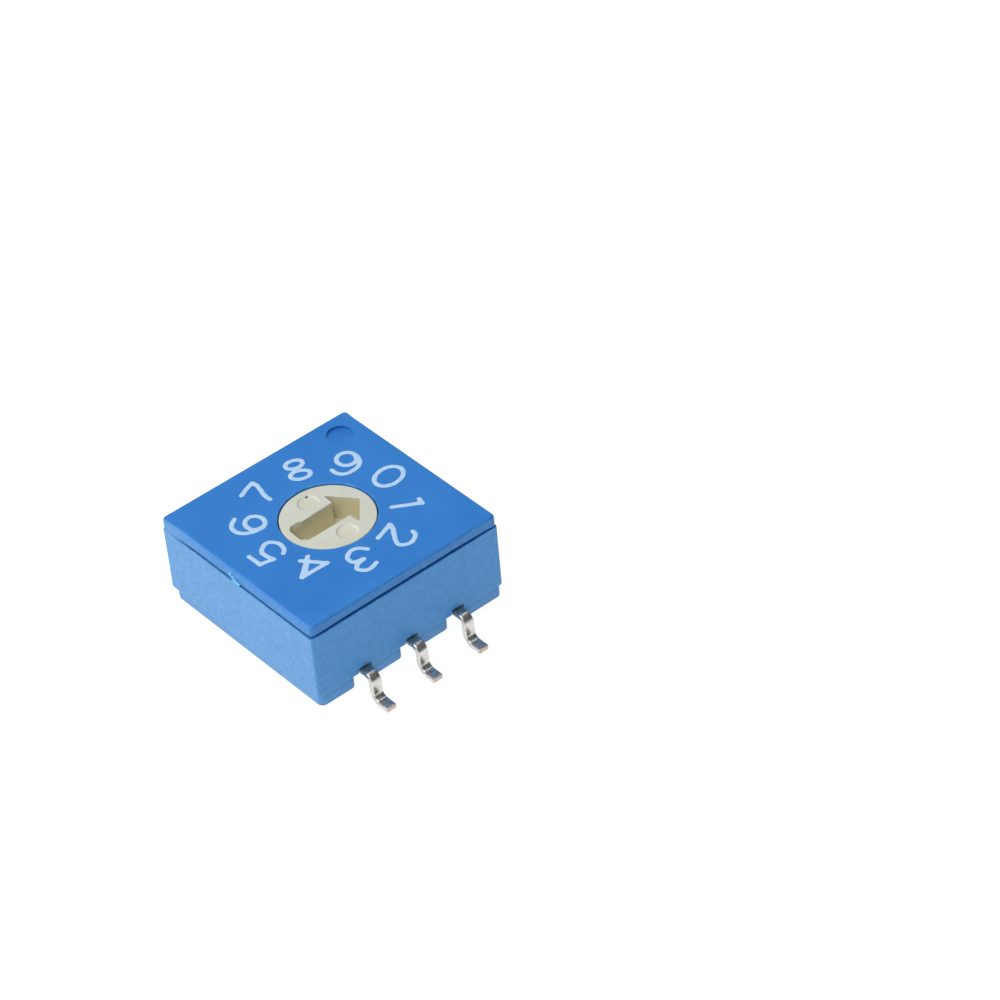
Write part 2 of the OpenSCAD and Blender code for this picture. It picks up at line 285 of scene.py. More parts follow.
def finish_piece(ob, body, mats, replaces=(), angle=40, weighted=True, flat_z=None):
    shade(ob, angle, flat_z)
    ob.data.transform(Matrix.Scale(MM, 4))
    which = [p.material_index for p in ob.data.polygons]
    ob.data.materials.clear()
    for m in mats:
        ob.data.materials.append(m)
    ob.data.polygons.foreach_set("material_index", [min(i, len(mats) - 1) for i in which])
    if weighted:
        w = ob.modifiers.new("even_normals", "WEIGHTED_NORMAL")
        w.keep_sharp = True
        w.weight = 60
    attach(ob, body)
    if replaces:
        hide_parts(*replaces)
    return ob


def cad_copy(node, keep_co, keep_no, name):
    """Copy of a CAD node's mesh in millimetres, cut by planes and capped; keeps the side the normal points to."""
    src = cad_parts[node]
    bm = bmesh.new()
    bm.from_mesh(src.data)
    bmesh.ops.transform(bm, matrix=Matrix.Scale(1000.0, 4), verts=bm.verts)
    bmesh.ops.remove_doubles(bm, verts=bm.verts, dist=1e-4)
    for co, no in zip(keep_co, keep_no):
        r = bmesh.ops.bisect_plane(bm, geom=bm.verts[:] + bm.edges[:] + bm.faces[:], plane_co=co, plane_no=no,
                                   clear_inner=True, clear_outer=False)
        cut = [g for g in r["geom_cut"] if isinstance(g, bmesh.types.BMEdge)]
        if cut:
            bmesh.ops.holes_fill(bm, edges=cut, sides=0)
    bmesh.ops.dissolve_limit(bm, angle_limit=math.radians(0.5), verts=bm.verts, edges=bm.edges)
    me = bpy.data.meshes.new(name)
    bm.to_mesh(me)
    bm.free()
    ob = bpy.data.objects.new(name, me)
    scene.collection.objects.link(ob)
    return ob


# ------------------------------------------------------------------ materials
class Nodes:
    """Small helper that adds nodes and links to one material."""

    def __init__(self, name):
        self.mat = bpy.data.materials.new(name)
        self.mat.use_nodes = True
        self.t = self.mat.node_tree
        self.t.nodes.clear()
        self.out = self.add("ShaderNodeOutputMaterial")
        self.bsdf = self.add("ShaderNodeBsdfPrincipled")
        self.t.links.new(self.bsdf.outputs[0], self.out.inputs[0])
        self.coord = self.add("ShaderNodeTexCoord")

    def add(self, kind, **props):
        n = self.t.nodes.new(kind)
        for k, v in props.items():
            setattr(n, k, v)
        return n

    def link(self, a, b):
        self.t.links.new(a, b)

    def noise(self, per_mm, detail=3.0, rough=0.5, stretch=None):
        n = self.add("ShaderNodeTexNoise")
        n.inputs["Scale"].default_value = per_mm * 1000.0
        n.inputs["Detail"].default_value = detail
        n.inputs["Roughness"].default_value = rough
        src = self.coord.outputs["Object"]
        if stretch:
            m = self.add("ShaderNodeMapping")
            m.inputs["Scale"].default_value = stretch
            self.link(src, m.inputs["Vector"])
            src = m.outputs[0]
        self.link(src, n.inputs["Vector"])
        return n.outputs["Fac"]

    def cells(self, per_mm, feature="F1"):
        n = self.add("ShaderNodeTexVoronoi", feature=feature)
        n.inputs["Scale"].default_value = per_mm * 1000.0
        self.link(self.coord.outputs["Object"], n.inputs["Vector"])
        return n

    def ramp(self, fac, stops):
        r = self.add("ShaderNodeValToRGB")
        el = r.color_ramp.elements
        while len(el) < len(stops):
            el.new(0.5)
        for e, (p, c) in zip(el, stops):
            e.position = p
            e.color = (c[0], c[1], c[2], 1) if isinstance(c, (tuple, list)) else (c, c, c, 1)
        self.link(fac, r.inputs[0])
        return r.outputs[0]

    def mix(self, fac, a, b, blend="MIX"):
        m = self.add("ShaderNodeMix", data_type="RGBA", blend_type=blend)
        if isinstance(fac, float):
            m.inputs[0].default_value = fac
        else:
            self.link(fac, m.inputs[0])
        for s, v in ((m.inputs[6], a), (m.inputs[7], b)):
            if isinstance(v, (tuple, list)):
                s.default_value = (v[0], v[1], v[2], 1)
            else:
                self.link(v, s)
        return m.outputs[2]

    def math(self, op, a, b=None):
        m = self.add("ShaderNodeMath", operation=op)
        for s, v in zip(m.inputs, (a, b)):
            if v is None:
                continue
            if isinstance(v, (int, float)):
                s.default_value = v
            else:
                self.link(v, s)
        return m.outputs[0]

    def bump(self, height, strength, dist_mm, under=None):
        b = self.add("ShaderNodeBump")
        b.inputs["Strength"].default_value = strength
        b.inputs["Distance"].default_value = dist_mm * MM
        self.link(height, b.inputs["Height"])
        if under is not None:
            self.link(under, b.inputs["Normal"])
        return b.outputs[0]

    def set(self, **kw):
        for k, v in kw.items():
            s = self.bsdf.inputs[k.replace("_", " ")]
            if isinstance(v, (int, float)):
                s.default_value = v
            elif isinstance(v, (tuple, list)):
                s.default_value = tuple(v) if len(s.default_value) == len(v) else (v[0], v[1], v[2], 1)
            else:
                self.link(v, s)
        return self.mat


def mat_cover():
    n = Nodes("moulded_blue_cover")
    broad = n.noise(0.35, 2)
    fine = n.noise(9, 4, 0.6)
    top = n.mix(n.ramp(broad, [(0.3, 0.0), (0.7, 1.0)]), (0.0168, 0.176, 0.568), (0.0265, 0.208, 0.628))
    top = n.mix(n.ramp(fine, [(0.42, 0.0), (0.75, 0.45)]), top, (0.040, 0.230, 0.640))
    # the sides are painted a darker blue than the top: painted shade for how light falls on them
    sep = n.add("ShaderNodeSeparateXYZ")
    n.link(n.coord.outputs["Object"], sep.inputs[0])
    far = n.math("MAXIMUM", n.math("ABSOLUTE", sep.outputs["X"]), n.math("ABSOLUTE", sep.outputs["Y"]))
    edge = n.add("ShaderNodeMapRange")
    edge.inputs["From Min"].default_value = 4.91 * MM
    edge.inputs["From Max"].default_value = 4.975 * MM
    n.link(far, edge.inputs["Value"])
    side = n.mix(n.ramp(n.noise(5.5, 4, 0.65), [(0.38, 0.0), (0.68, 1.0)]), (0.006, 0.160, 0.480), (0.036, 0.225, 0.560))
    # the -Y side is painted paler towards its -X end
    left = n.add("ShaderNodeMapRange")
    left.inputs["From Min"].default_value = -1.0 * MM
    left.inputs["From Max"].default_value = -4.2 * MM
    left.inputs["To Max"].default_value = 0.45
    n.link(sep.outputs["X"], left.inputs["Value"])
    paler_minus_x_end = n.math("MULTIPLY", left.outputs[0], n.math("LESS_THAN", sep.outputs["Y"], -4.9 * MM))
    side = n.mix(paler_minus_x_end, side, (0.080, 0.270, 0.560))
    # painted shade: the ±X sides get a darker, less red copy of the side colour, for how light falls on them
    painted_side_shade = n.add("ShaderNodeMapRange")
    painted_side_shade.inputs["From Min"].default_value = 4.93 * MM
    painted_side_shade.inputs["From Max"].default_value = 4.98 * MM
    n.link(n.math("ABSOLUTE", sep.outputs["X"]), painted_side_shade.inputs["Value"])
    side = n.mix(painted_side_shade.outputs[0], side, (0.55, 0.95, 1.0), "MULTIPLY")
    col = n.mix(edge.outputs[0], top, side)
    # the round mark: painted shade on its wall, and a floor painted darker the deeper it lies
    hub = n.add("ShaderNodeVectorMath", operation="DISTANCE")
    hub.inputs[1].default_value = (-3.92 * MM, 3.84 * MM, TOP * MM)
    n.link(n.coord.outputs["Object"], hub.inputs[0])
    wall = n.add("ShaderNodeMapRange")
    wall.inputs["From Min"].default_value = 0.545 * MM
    wall.inputs["From Max"].default_value = 0.580 * MM
    n.link(hub.outputs["Value"], wall.inputs["Value"])
    sunk = n.add("ShaderNodeMapRange")
    sunk.inputs["From Min"].default_value = (TOP - 0.006) * MM
    sunk.inputs["From Max"].default_value = (TOP - 0.045) * MM
    n.link(sep.outputs["Z"], sunk.inputs["Value"])
    in_mark = n.math("LESS_THAN", hub.outputs["Value"], 0.66 * MM)
    painted_floor_shade = n.add("ShaderNodeMapRange")
    painted_floor_shade.inputs["From Min"].default_value = (TOP - 0.040) * MM
    painted_floor_shade.inputs["From Max"].default_value = (TOP - 0.125) * MM
    painted_floor_shade.inputs["To Max"].default_value = 0.45
    n.link(sep.outputs["Z"], painted_floor_shade.inputs["Value"])
    col = n.mix(n.math("MULTIPLY", painted_floor_shade.outputs[0], in_mark), col, (0.008, 0.105, 0.420))
    painted_wall_shade = n.math("MULTIPLY", n.math("MULTIPLY", wall.outputs[0], sunk.outputs[0]), in_mark)
    col = n.mix(n.math("MULTIPLY", painted_wall_shade, 0.62), col, (0.006, 0.085, 0.350))
    # painted highlight on the rim of the bore, where its rounded edge catches light
    flat = n.add("ShaderNodeVectorMath", operation="MULTIPLY")
    flat.inputs[1].default_value = (1.0, 1.0, 0.0)
    n.link(n.coord.outputs["Object"], flat.inputs[0])
    rad = n.add("ShaderNodeVectorMath", operation="DISTANCE")
    rad.inputs[1].default_value = (BORE_AT[0] * MM, BORE_AT[1] * MM, 0.0)
    n.link(flat.outputs[0], rad.inputs[0])
    rim_highlight_band = n.add("ShaderNodeMapRange")
    rim_highlight_band.inputs["From Min"].default_value = (BORE + 0.06) * MM
    rim_highlight_band.inputs["From Max"].default_value = (BORE + 0.01) * MM
    n.link(rad.outputs["Value"], rim_highlight_band.inputs["Value"])
    above = n.math("GREATER_THAN", sep.outputs["Z"], (TOP - 0.03) * MM)
    painted_rim_highlight = n.math("MULTIPLY", n.math("MULTIPLY", rim_highlight_band.outputs[0], above), n.ramp(n.noise(2.4, 3, 0.6), [(0.42, 0.0), (0.62, 0.8)]))
    col = n.mix(painted_rim_highlight, col, (0.13, 0.42, 0.74))
    rough = n.ramp(n.noise(3.0, 3), [(0.3, 0.46), (0.7, 0.56)])
    b = n.bump(n.noise(26, 3, 0.6), 0.45, 0.0045)
    b = n.bump(n.noise(2.2, 2, 0.5), 0.35, 0.007, b)
    return n.set(Base_Color=col, Roughness=rough, Normal=b, IOR=1.55)


def mat_torn():
    n = Nodes("torn_blue_stub")
    col = n.mix(n.ramp(n.noise(9, 4, 0.65), [(0.35, 0.0), (0.65, 1.0)]), (0.050, 0.300, 0.600), (0.200, 0.560, 0.800))
    return n.set(Base_Color=col, Roughness=n.ramp(n.noise(14, 3), [(0.3, 0.45), (0.7, 0.7)]),
                 Normal=n.bump(n.noise(16, 4, 0.65), 0.7, 0.012), IOR=1.5)


def mat_housing(name="glass_filled_blue"):
    n = Nodes(name)
    broad = n.noise(0.5, 3)
    mid = n.noise(3.4, 4, 0.65)
    col = n.mix(n.ramp(broad, [(0.3, 0.0), (0.7, 1.0)]), (0.0455, 0.224, 0.514), (0.0610, 0.249, 0.552))
    col = n.mix(n.ramp(mid, [(0.42, 0.0), (0.72, 0.75)]), col, (0.108, 0.318, 0.638))
    # short glass fibres under the skin show as pale flecks, in loose clouds
    flecks = n.cells(9.5)
    fl = n.ramp(flecks.outputs["Distance"], [(0.10, 1.0), (0.30, 0.0)])
    fl = n.math("MULTIPLY", fl, n.ramp(n.noise(2.3, 3), [(0.44, 0.0), (0.62, 0.85)]))
    col = n.mix(fl, col, (0.260, 0.500, 0.780))
    dots = n.cells(4.1)
    dt = n.math("MULTIPLY", n.ramp(dots.outputs["Distance"], [(0.05, 1.0), (0.12, 0.0)]),
                n.ramp(n.noise(0.9, 2), [(0.50, 0.0), (0.60, 0.8)]))
    col = n.mix(dt, col, (0.45, 0.66, 0.88))
    # painted shade on the lowest edge, and a thin painted highlight where housing and base meet
    sep = n.add("ShaderNodeSeparateXYZ")
    n.link(n.coord.outputs["Object"], sep.inputs[0])
    foot = n.add("ShaderNodeMapRange")
    foot.inputs["From Min"].default_value = (BASE + 0.135) * MM
    foot.inputs["From Max"].default_value = (BASE + 0.055) * MM
    n.link(sep.outputs["Z"], foot.inputs["Value"])
    outer = n.math("GREATER_THAN", n.math("MAXIMUM", n.math("ABSOLUTE", sep.outputs["X"]), n.math("ABSOLUTE", sep.outputs["Y"])), 4.80 * MM)
    line = n.add("ShaderNodeMapRange")
    line.inputs["From Min"].default_value = 0.060 * MM
    line.inputs["From Max"].default_value = 0.035 * MM
    n.link(n.math("ABSOLUTE", n.math("SUBTRACT", sep.outputs["Z"], 1.278 * MM)), line.inputs["Value"])
    col = n.mix(n.math("MULTIPLY", line.outputs[0], n.ramp(n.noise(3, 3), [(0.3, 0.55), (0.7, 1.0)])), col, (0.200, 0.500, 0.880))
    painted_low_edge_shade = n.math("MULTIPLY", n.math("MULTIPLY", foot.outputs[0], outer), 0.68)
    col = n.mix(painted_low_edge_shade, col, (0.020, 0.110, 0.290))
    # painted shade: the ±X sides, at the leads, are painted a deeper, less red blue, for how light falls on them
    painted_side_shade = n.add("ShaderNodeMapRange")
    painted_side_shade.inputs["From Min"].default_value = 4.93 * MM
    painted_side_shade.inputs["From Max"].default_value = 5.03 * MM
    n.link(n.math("ABSOLUTE", sep.outputs["X"]), painted_side_shade.inputs["Value"])
    col = n.mix(painted_side_shade.outputs[0], col, (0.50, 0.93, 1.04), "MULTIPLY")
    rough = n.ramp(mid, [(0.3, 0.46), (0.7, 0.60)])
    b = n.bump(n.noise(17, 4, 0.65), 0.5, 0.006)
    b = n.bump(n.noise(3.0, 3, 0.6), 0.35, 0.010, b)
    return n.set(Base_Color=col, Roughness=rough, Normal=b, IOR=1.60)


def mat_dial():
    n = Nodes("moulded_ivory")
    # painted shade: the walls of the slot get a yellower copy of the top's ivory, for how light falls inside the slot
    sep = n.add("ShaderNodeSeparateXYZ")
    n.link(n.coord.outputs["Object"], sep.inputs[0])
    slot_wall_shade = n.add("ShaderNodeMapRange")
    slot_wall_shade.inputs["From Min"].default_value = (TOP - 0.02) * MM
    slot_wall_shade.inputs["From Max"].default_value = (TOP - 0.22) * MM
    n.link(sep.outputs["Z"], slot_wall_shade.inputs["Value"])
    top = n.mix(n.ramp(n.noise(1.1, 3), [(0.3, 0.0), (0.7, 1.0)]), (0.575, 0.585, 0.500), (0.625, 0.640, 0.575))
    top = n.mix(n.ramp(n.noise(8, 4, 0.6), [(0.5, 0.0), (0.8, 0.45)]), top, (0.72, 0.73, 0.68))
    wall = n.mix(n.ramp(n.noise(1.6, 3), [(0.3, 0.0), (0.7, 1.0)]), (0.640, 0.588, 0.392), (0.680, 0.632, 0.440))
    col = n.mix(slot_wall_shade.outputs[0], top, wall)
    # a speck of dirt caught in the rim of one mark
    near = n.add("ShaderNodeVectorMath", operation="DISTANCE")
    near.inputs[1].default_value = (-1.668 * MM * 1.3, 0.185 * MM * 0.75, (TOP - 0.02) * MM)
    squash = n.add("ShaderNodeVectorMath", operation="MULTIPLY")
    squash.inputs[1].default_value = (1.3, 0.75, 1.0)
    n.link(n.coord.outputs["Object"], squash.inputs[0])
    n.link(squash.outputs[0], near.inputs[0])
    spot = n.add("ShaderNodeMapRange")
    spot.inputs["From Min"].default_value = 0.066 * MM
    spot.inputs["From Max"].default_value = 0.040 * MM
    ragged = n.math("ADD", near.outputs["Value"], n.math("MULTIPLY", n.math("SUBTRACT", n.noise(9, 3, 0.6), 0.5), 0.12 * MM))
    n.link(ragged, spot.inputs["Value"])
    col = n.mix(spot.outputs[0], col, (0.07, 0.06, 0.035))
    rough = n.ramp(n.noise(4, 3), [(0.3, 0.46), (0.7, 0.58)])
    b = n.bump(n.noise(22, 3, 0.6), 0.45, 0.005)
    b = n.bump(n.noise(2.5, 2), 0.25, 0.008, b)
    return n.set(Base_Color=col, Roughness=rough, Normal=b, IOR=1.5)


def mat_ink():
    n = Nodes("pad_print_ink")
    thin = n.ramp(n.noise(4.5, 4, 0.65), [(0.30, 0.0), (0.70, 1.0)])
    col = n.mix(thin, (0.385, 0.585, 0.855), (0.510, 0.685, 0.905))
    col = n.mix(n.ramp(n.noise(19, 3, 0.6), [(0.5, 0.0), (0.85, 0.5)]), col, (0.62, 0.78, 0.95))
    b = n.bump(n.noise(14, 3, 0.6), 0.4, 0.004)
    return n.set(Base_Color=col, Roughness=n.ramp(thin, [(0.0, 0.50), (1.0, 0.40)]), Normal=b, IOR=1.48)


def mat_tin():
    n = Nodes("tin_plate")
    cloud = n.noise(5, 4, 0.6)
    col = n.mix(n.ramp(cloud, [(0.35, 0.0), (0.7, 1.0)]), (0.60, 0.585, 0.555), (0.76, 0.75, 0.735))
    # a darker brownish tint on top of the strip where it leaves the housing, and a duller foot
    sep = n.add("ShaderNodeSeparateXYZ")
    n.link(n.coord.outputs["Object"], sep.inputs[0])
    run = n.math("ABSOLUTE", sep.outputs["X"])
    wall = n.add("ShaderNodeMapRange")
    wall.inputs["From Min"].default_value = 5.46 * MM
    wall.inputs["From Max"].default_value = 5.34 * MM
    n.link(run, wall.inputs["Value"])
    brown_tint = n.math("MULTIPLY", wall.outputs[0], n.ramp(n.noise(6, 4, 0.65), [(0.25, 1.0), (0.75, 0.55)]))
    brown_tint = n.math("MULTIPLY", brown_tint, n.math("GREATER_THAN", sep.outputs["Z"], 1.43 * MM))
    col = n.mix(brown_tint, col, (0.64, 0.395, 0.270))
    sole = n.add("ShaderNodeMapRange")
    sole.inputs["From Min"].default_value = 6.02 * MM
    sole.inputs["From Max"].default_value = 6.14 * MM
    n.link(run, sole.inputs["Value"])
    pits = n.ramp(n.noise(13, 4, 0.7), [(0.52, 0.0), (0.68, 0.75)])
    col = n.mix(pits, col, (0.30, 0.29, 0.28))
    low = n.math("MULTIPLY", sole.outputs[0], n.math("LESS_THAN", sep.outputs["Z"], 0.40 * MM))
    low = n.math("MULTIPLY", low, n.math("GREATER_THAN", sep.outputs["Z"], 0.225 * MM))
    col = n.mix(n.math("MULTIPLY", low, n.ramp(n.noise(7, 4, 0.65), [(0.3, 0.9), (0.7, 0.45)])), col, (0.84, 0.57, 0.41))
    col = n.mix(n.math("MULTIPLY", low, n.ramp(n.noise(10, 3, 0.6), [(0.50, 0.0), (0.62, 0.75)])), col, (0.97, 0.96, 0.94))
    col = n.mix(n.math("MULTIPLY", low, n.ramp(n.noise(7.3, 3, 0.6), [(0.54, 0.0), (0.66, 0.7)])), col, (0.26, 0.25, 0.24))
    streak = n.noise(12, 3, 0.6, stretch=(1.0, 4.0, 1.0))
    rough = n.ramp(streak, [(0.3, 0.22), (0.7, 0.38)])
    rough = n.math("ADD", rough, n.math("MULTIPLY", low, 0.04))
    b = n.bump(streak, 0.30, 0.0012)
    b = n.bump(n.noise(3.5, 3, 0.55), 0.35, 0.008, b)
    b = n.bump(n.math("MULTIPLY", n.noise(9, 3, 0.6), n.math("ADD", low, 0.12)), 0.75, 0.012, b)
    return n.set(Base_Color=col, Metallic=1.0, Roughness=rough, Normal=b)


def mat_cut():
    n = Nodes("sheared_copper_alloy")
    col = n.mix(n.ramp(n.noise(7, 4, 0.6), [(0.35, 0.0), (0.65, 1.0)]), (0.46, 0.38, 0.31), (0.64, 0.585, 0.53))
    sep = n.add("ShaderNodeSeparateXYZ")
    n.link(n.coord.outputs["Object"], sep.inputs[0])
    burr = n.add("ShaderNodeMapRange")
    burr.inputs["From Min"].default_value = 0.185 * MM
    burr.inputs["From Max"].default_value = 0.222 * MM
    burr.inputs["To Max"].default_value = 0.85
    n.link(sep.outputs["Z"], burr.inputs["Value"])
    col = n.mix(burr.outputs[0], col, (0.200, 0.125, 0.080))
    lines = n.noise(10, 2, 0.5, stretch=(1.0, 6.0, 1.0))
    return n.set(Base_Color=col, Metallic=1.0, Roughness=n.ramp(lines, [(0.3, 0.34), (0.7, 0.55)]),
                 Normal=n.bump(lines, 0.6, 0.012))


def mat_gold():
    n = Nodes("contact_gold_plate")
    col = n.mix(n.ramp(n.noise(3, 3), [(0.3, 0.0), (0.7, 1.0)]), (0.86, 0.62, 0.24), (0.93, 0.72, 0.34))
    wear = n.noise(10, 3, 0.6)
    return n.set(Base_Color=col, Metallic=1.0, Roughness=n.ramp(wear, [(0.3, 0.18), (0.7, 0.34)]),
                 Normal=n.bump(wear, 0.3, 0.003))


def mat_spring():
    n = Nodes("rolled_spring_steel")
    lines = n.noise(4, 4, 0.6, stretch=(1.0, 1.0, 9.0))
    col = n.mix(n.ramp(lines, [(0.3, 0.0), (0.7, 1.0)]), (0.50, 0.50, 0.51), (0.66, 0.66, 0.67))
    return n.set(Base_Color=col, Metallic=1.0, Roughness=n.ramp(lines, [(0.3, 0.2), (0.7, 0.34)]),
                 Normal=n.bump(lines, 0.4, 0.003))


def mat_rubber():
    n = Nodes("seal_rubber")
    grain = n.noise(9, 4, 0.6)
    col = n.mix(n.ramp(grain, [(0.3, 0.0), (0.75, 1.0)]), (0.016, 0.016, 0.018), (0.035, 0.035, 0.037))
    return n.set(Base_Color=col, Roughness=n.ramp(grain, [(0.3, 0.5), (0.7, 0.7)]), Normal=n.bump(grain, 0.5, 0.006))


def mat_floor():
    """Pale light-table floor; it glows more on the side of the key light."""
    n = Nodes("pale_floor")
    along = n.add("ShaderNodeVectorMath", operation="DOT_PRODUCT")
    along.inputs[1].default_value = (-0.55, -0.83, 0.0)
    n.link(n.coord.outputs["Object"], along.inputs[0])
    span = n.add("ShaderNodeMapRange", interpolation_type="SMOOTHSTEP")
    span.inputs["From Min"].default_value = -0.002
    span.inputs["From Max"].default_value = 0.030
    n.link(along.outputs["Value"], span.inputs["Value"])
    glow = n.mix(span.outputs[0], (0.935, 0.925, 0.915), (1.25, 1.26, 1.28))
    col = n.mix(n.ramp(n.noise(0.02, 3), [(0.3, 0.0), (0.7, 1.0)]), (0.23, 0.23, 0.23), (0.25, 0.25, 0.25))
    return n.set(Base_Color=col, Roughness=0.9, Specular_IOR_Level=0.1, Emission_Color=glow, Emission_Strength=1.0)


M_COVER, M_HOUSING, M_DIAL, M_INK = mat_cover(), mat_housing(), mat_dial(), mat_ink()
M_TORN = mat_torn()
M_TIN, M_CUT, M_GOLD, M_SPRING, M_RUBBER = mat_tin(), mat_cut(), mat_gold(), mat_spring(), mat_rubber()


# ------------------------------------------------------------------ cover
def arc(r, a0, a1, n):
    """(cos, sin) points of an arc, times r."""
    return [(r * math.cos(math.radians(a0 + (a1 - a0) * k / n)), r * math.sin(math.radians(a0 + (a1 - a0) * k / n)))
            for k in range(n + 1)]


def ease(v, a, b):
    t = min(1.0, max(0.0, (v - a) / (b - a)))
    return t * t * (3 - 2 * t)


def closed_part(x, y):
    """1 where the cover sits flush on the housing, 0 where the joint is open."""
    if x < -4.6:
        return 1.0
    return ease(-x, 3.3, 4.1) if y < -4.6 else 0.0


def cover_fit(x, y):
    """(how far the side stands out, how far its lower edge is raised) at a point of the cover's outline.

    The cover sits slightly askew on the housing: flush and closed at the -X-Y corner, most open along +X."""
    out = 0.0
    if y < -4.6:
        out = 0.055 * ease(-x, 3.2, 4.7)
    if y > 4.6:
        out = 0.03
    if x < -4.6:
        out = 0.055
    up = 0.0
    if y < -4.6:
        up = -0.010 - 0.082 * ease(-x, 3.0, 4.1) + 0.006 * math.sin(7.1 * x) * (1 - ease(-x, 2.6, 3.6))
    if x > 4.6:
        up = 0.030 * ease(y, -4.9, -2.6) - 0.052 * ease(y, 2.6, 4.9) + 0.005 * math.sin(3.3 * y)
    if y > 4.6:
        up = -0.022 - 0.07 * ease(-x, -4.6, 4.6)
    if x < -4.6:
        up = -0.092
    return out, up


def build_cover():
    er, cr, lr = 0.13, 0.17, 0.020
    u = SEAM + GAP

    def side(c, s_):
        def move(x, y):
            o, up = cover_fit(x, y)
            q = 1.0 - 0.92 * closed_part(x, y)
            return o - (lr - c) * q, up - (lr + s_) * (1 - q)
        return move

    def top(back):
        return lambda x, y: (cover_fit(x, y)[0] - back * (0.62 if x < -4.6 or y > 4.6 else 1.0), 0.0)

    def inner(x, y):
        return -0.19, cover_fit(x, y)[1]

    loops = [ring(CHALF, cr, u, inner)]
    for c, s_ in arc(lr, -90, 0, 3):
        loops.append(ring(CHALF, cr, u + lr + s_, side(c, s_)))
    for c, s_ in arc(er, 0, 90, 7):
        loops.append(ring(CHALF, cr, TOP - er + s_, top(er - c)))
    loops.append(ring(CHALF, cr, TOP, top(er + 0.03)))
    bx, by = BORE_AT
    loops.append(square_loop(4.2, 0.3, TOP))
    loops.append(circle_loop(3.1, TOP))
    loops.append(circle_loop(BORE + 0.05, TOP, bx, by))
    for c, s_ in arc(0.018, 90, 180, 3):
        loops.append(circle_loop(BORE + 0.018 + c, TOP - 0.018 + s_, bx, by))
    loops += [circle_loop(BORE, 4.1, bx, by), circle_loop(2.7, 4.1), circle_loop(2.7, 3.6), circle_loop(3.15, 3.6),
              circle_loop(3.15, SEAM), square_loop(3.5, 0.2, SEAM), square_loop(3.5, 0.2, SEAM - 0.4),
              square_loop(PLUG, 0.3, SEAM - 0.4), square_loop(PLUG, 0.3, SEAM), square_loop(CHALF - 0.28, 0.12, SEAM + 0.004)]
    ob = loft("switch_cover", loops, closed=True)
    # round mark: its floor tilts, deepest at the -X+Y side and almost flush opposite
    tool = lathe("t", [(0.50, 0.0), (0.560, 0.006), (0.578, 0.025), (0.583, 0.6), (0.586, 0.80), (0.596, 1.0), (0.60, 3.0)],
                 64, cx=-3.92, cy=3.84)
    for v in tool.data.vertices:
        d = 0.072 + 0.062 * ((v.co.x + 3.92) * -0.84 + (v.co.y - 3.84) * 0.54) / 0.59
        v.co.z = TOP + (v.co.z - 1.0) * (d if v.co.z < 1.0 else 0.1)
    boolean(ob, [tool])
    return ob


cover = build_cover()
finish_piece(cover, "case", [M_COVER], replaces=["cover"], angle=50, flat_z=TOP)


# gate stub: the torn-off remnant of the moulding gate, over the joint on the -Y side
def build_gate():
    bm = bmesh.new()
    lumps = [(-0.36, -4.98, 4.85, 0.085, 0.040, 0.075), (-0.31, -4.985, 4.775, 0.105, 0.048, 0.100), (-0.20, -4.99, 4.69, 0.12, 0.050, 0.115),
             (-0.06, -4.995, 4.625, 0.14, 0.055, 0.095), (0.08, -5.0, 4.590, 0.13, 0.055, 0.075),
             (0.20, -5.01, 4.580, 0.085, 0.050, 0.050),
             (-0.12, -5.015, 4.530, 0.12, 0.045, 0.055)]
    me_all = bpy.data.meshes.new("t")
    parts = []
    for cx, cy, cz, sx, sy, sz in lumps:
        b = bmesh.new()
        bmesh.ops.create_icosphere(b, subdivisions=4, radius=1.0)
        for v in b.verts:
            k = 1 + 0.34 * noise.noise(Vector((v.co.x * 1.7 + cx * 9, v.co.y * 1.7, v.co.z * 1.7 + cz)))
            k += 0.20 * noise.noise(Vector((v.co.x * 4.3, v.co.y * 4.3 + cx * 5, v.co.z * 4.3)))
            v.co = Vector((cx + v.co.x * sx * k, cy + v.co.y * sy * k, cz + v.co.z * sz * k))
        me = bpy.data.meshes.new("t")
        b.to_mesh(me)
        b.free()
        o = bpy.data.objects.new("t", me)
        scene.collection.objects.link(o)
        parts.append(o)
    bpy.data.meshes.remove(me_all)
    bm.free()
    first = parts[0]
    boolean(first, parts[1:], "UNION")
    first.name = "gate_stub"
    return first


finish_piece(build_gate(), "case", [M_TORN], angle=80, weighted=False)


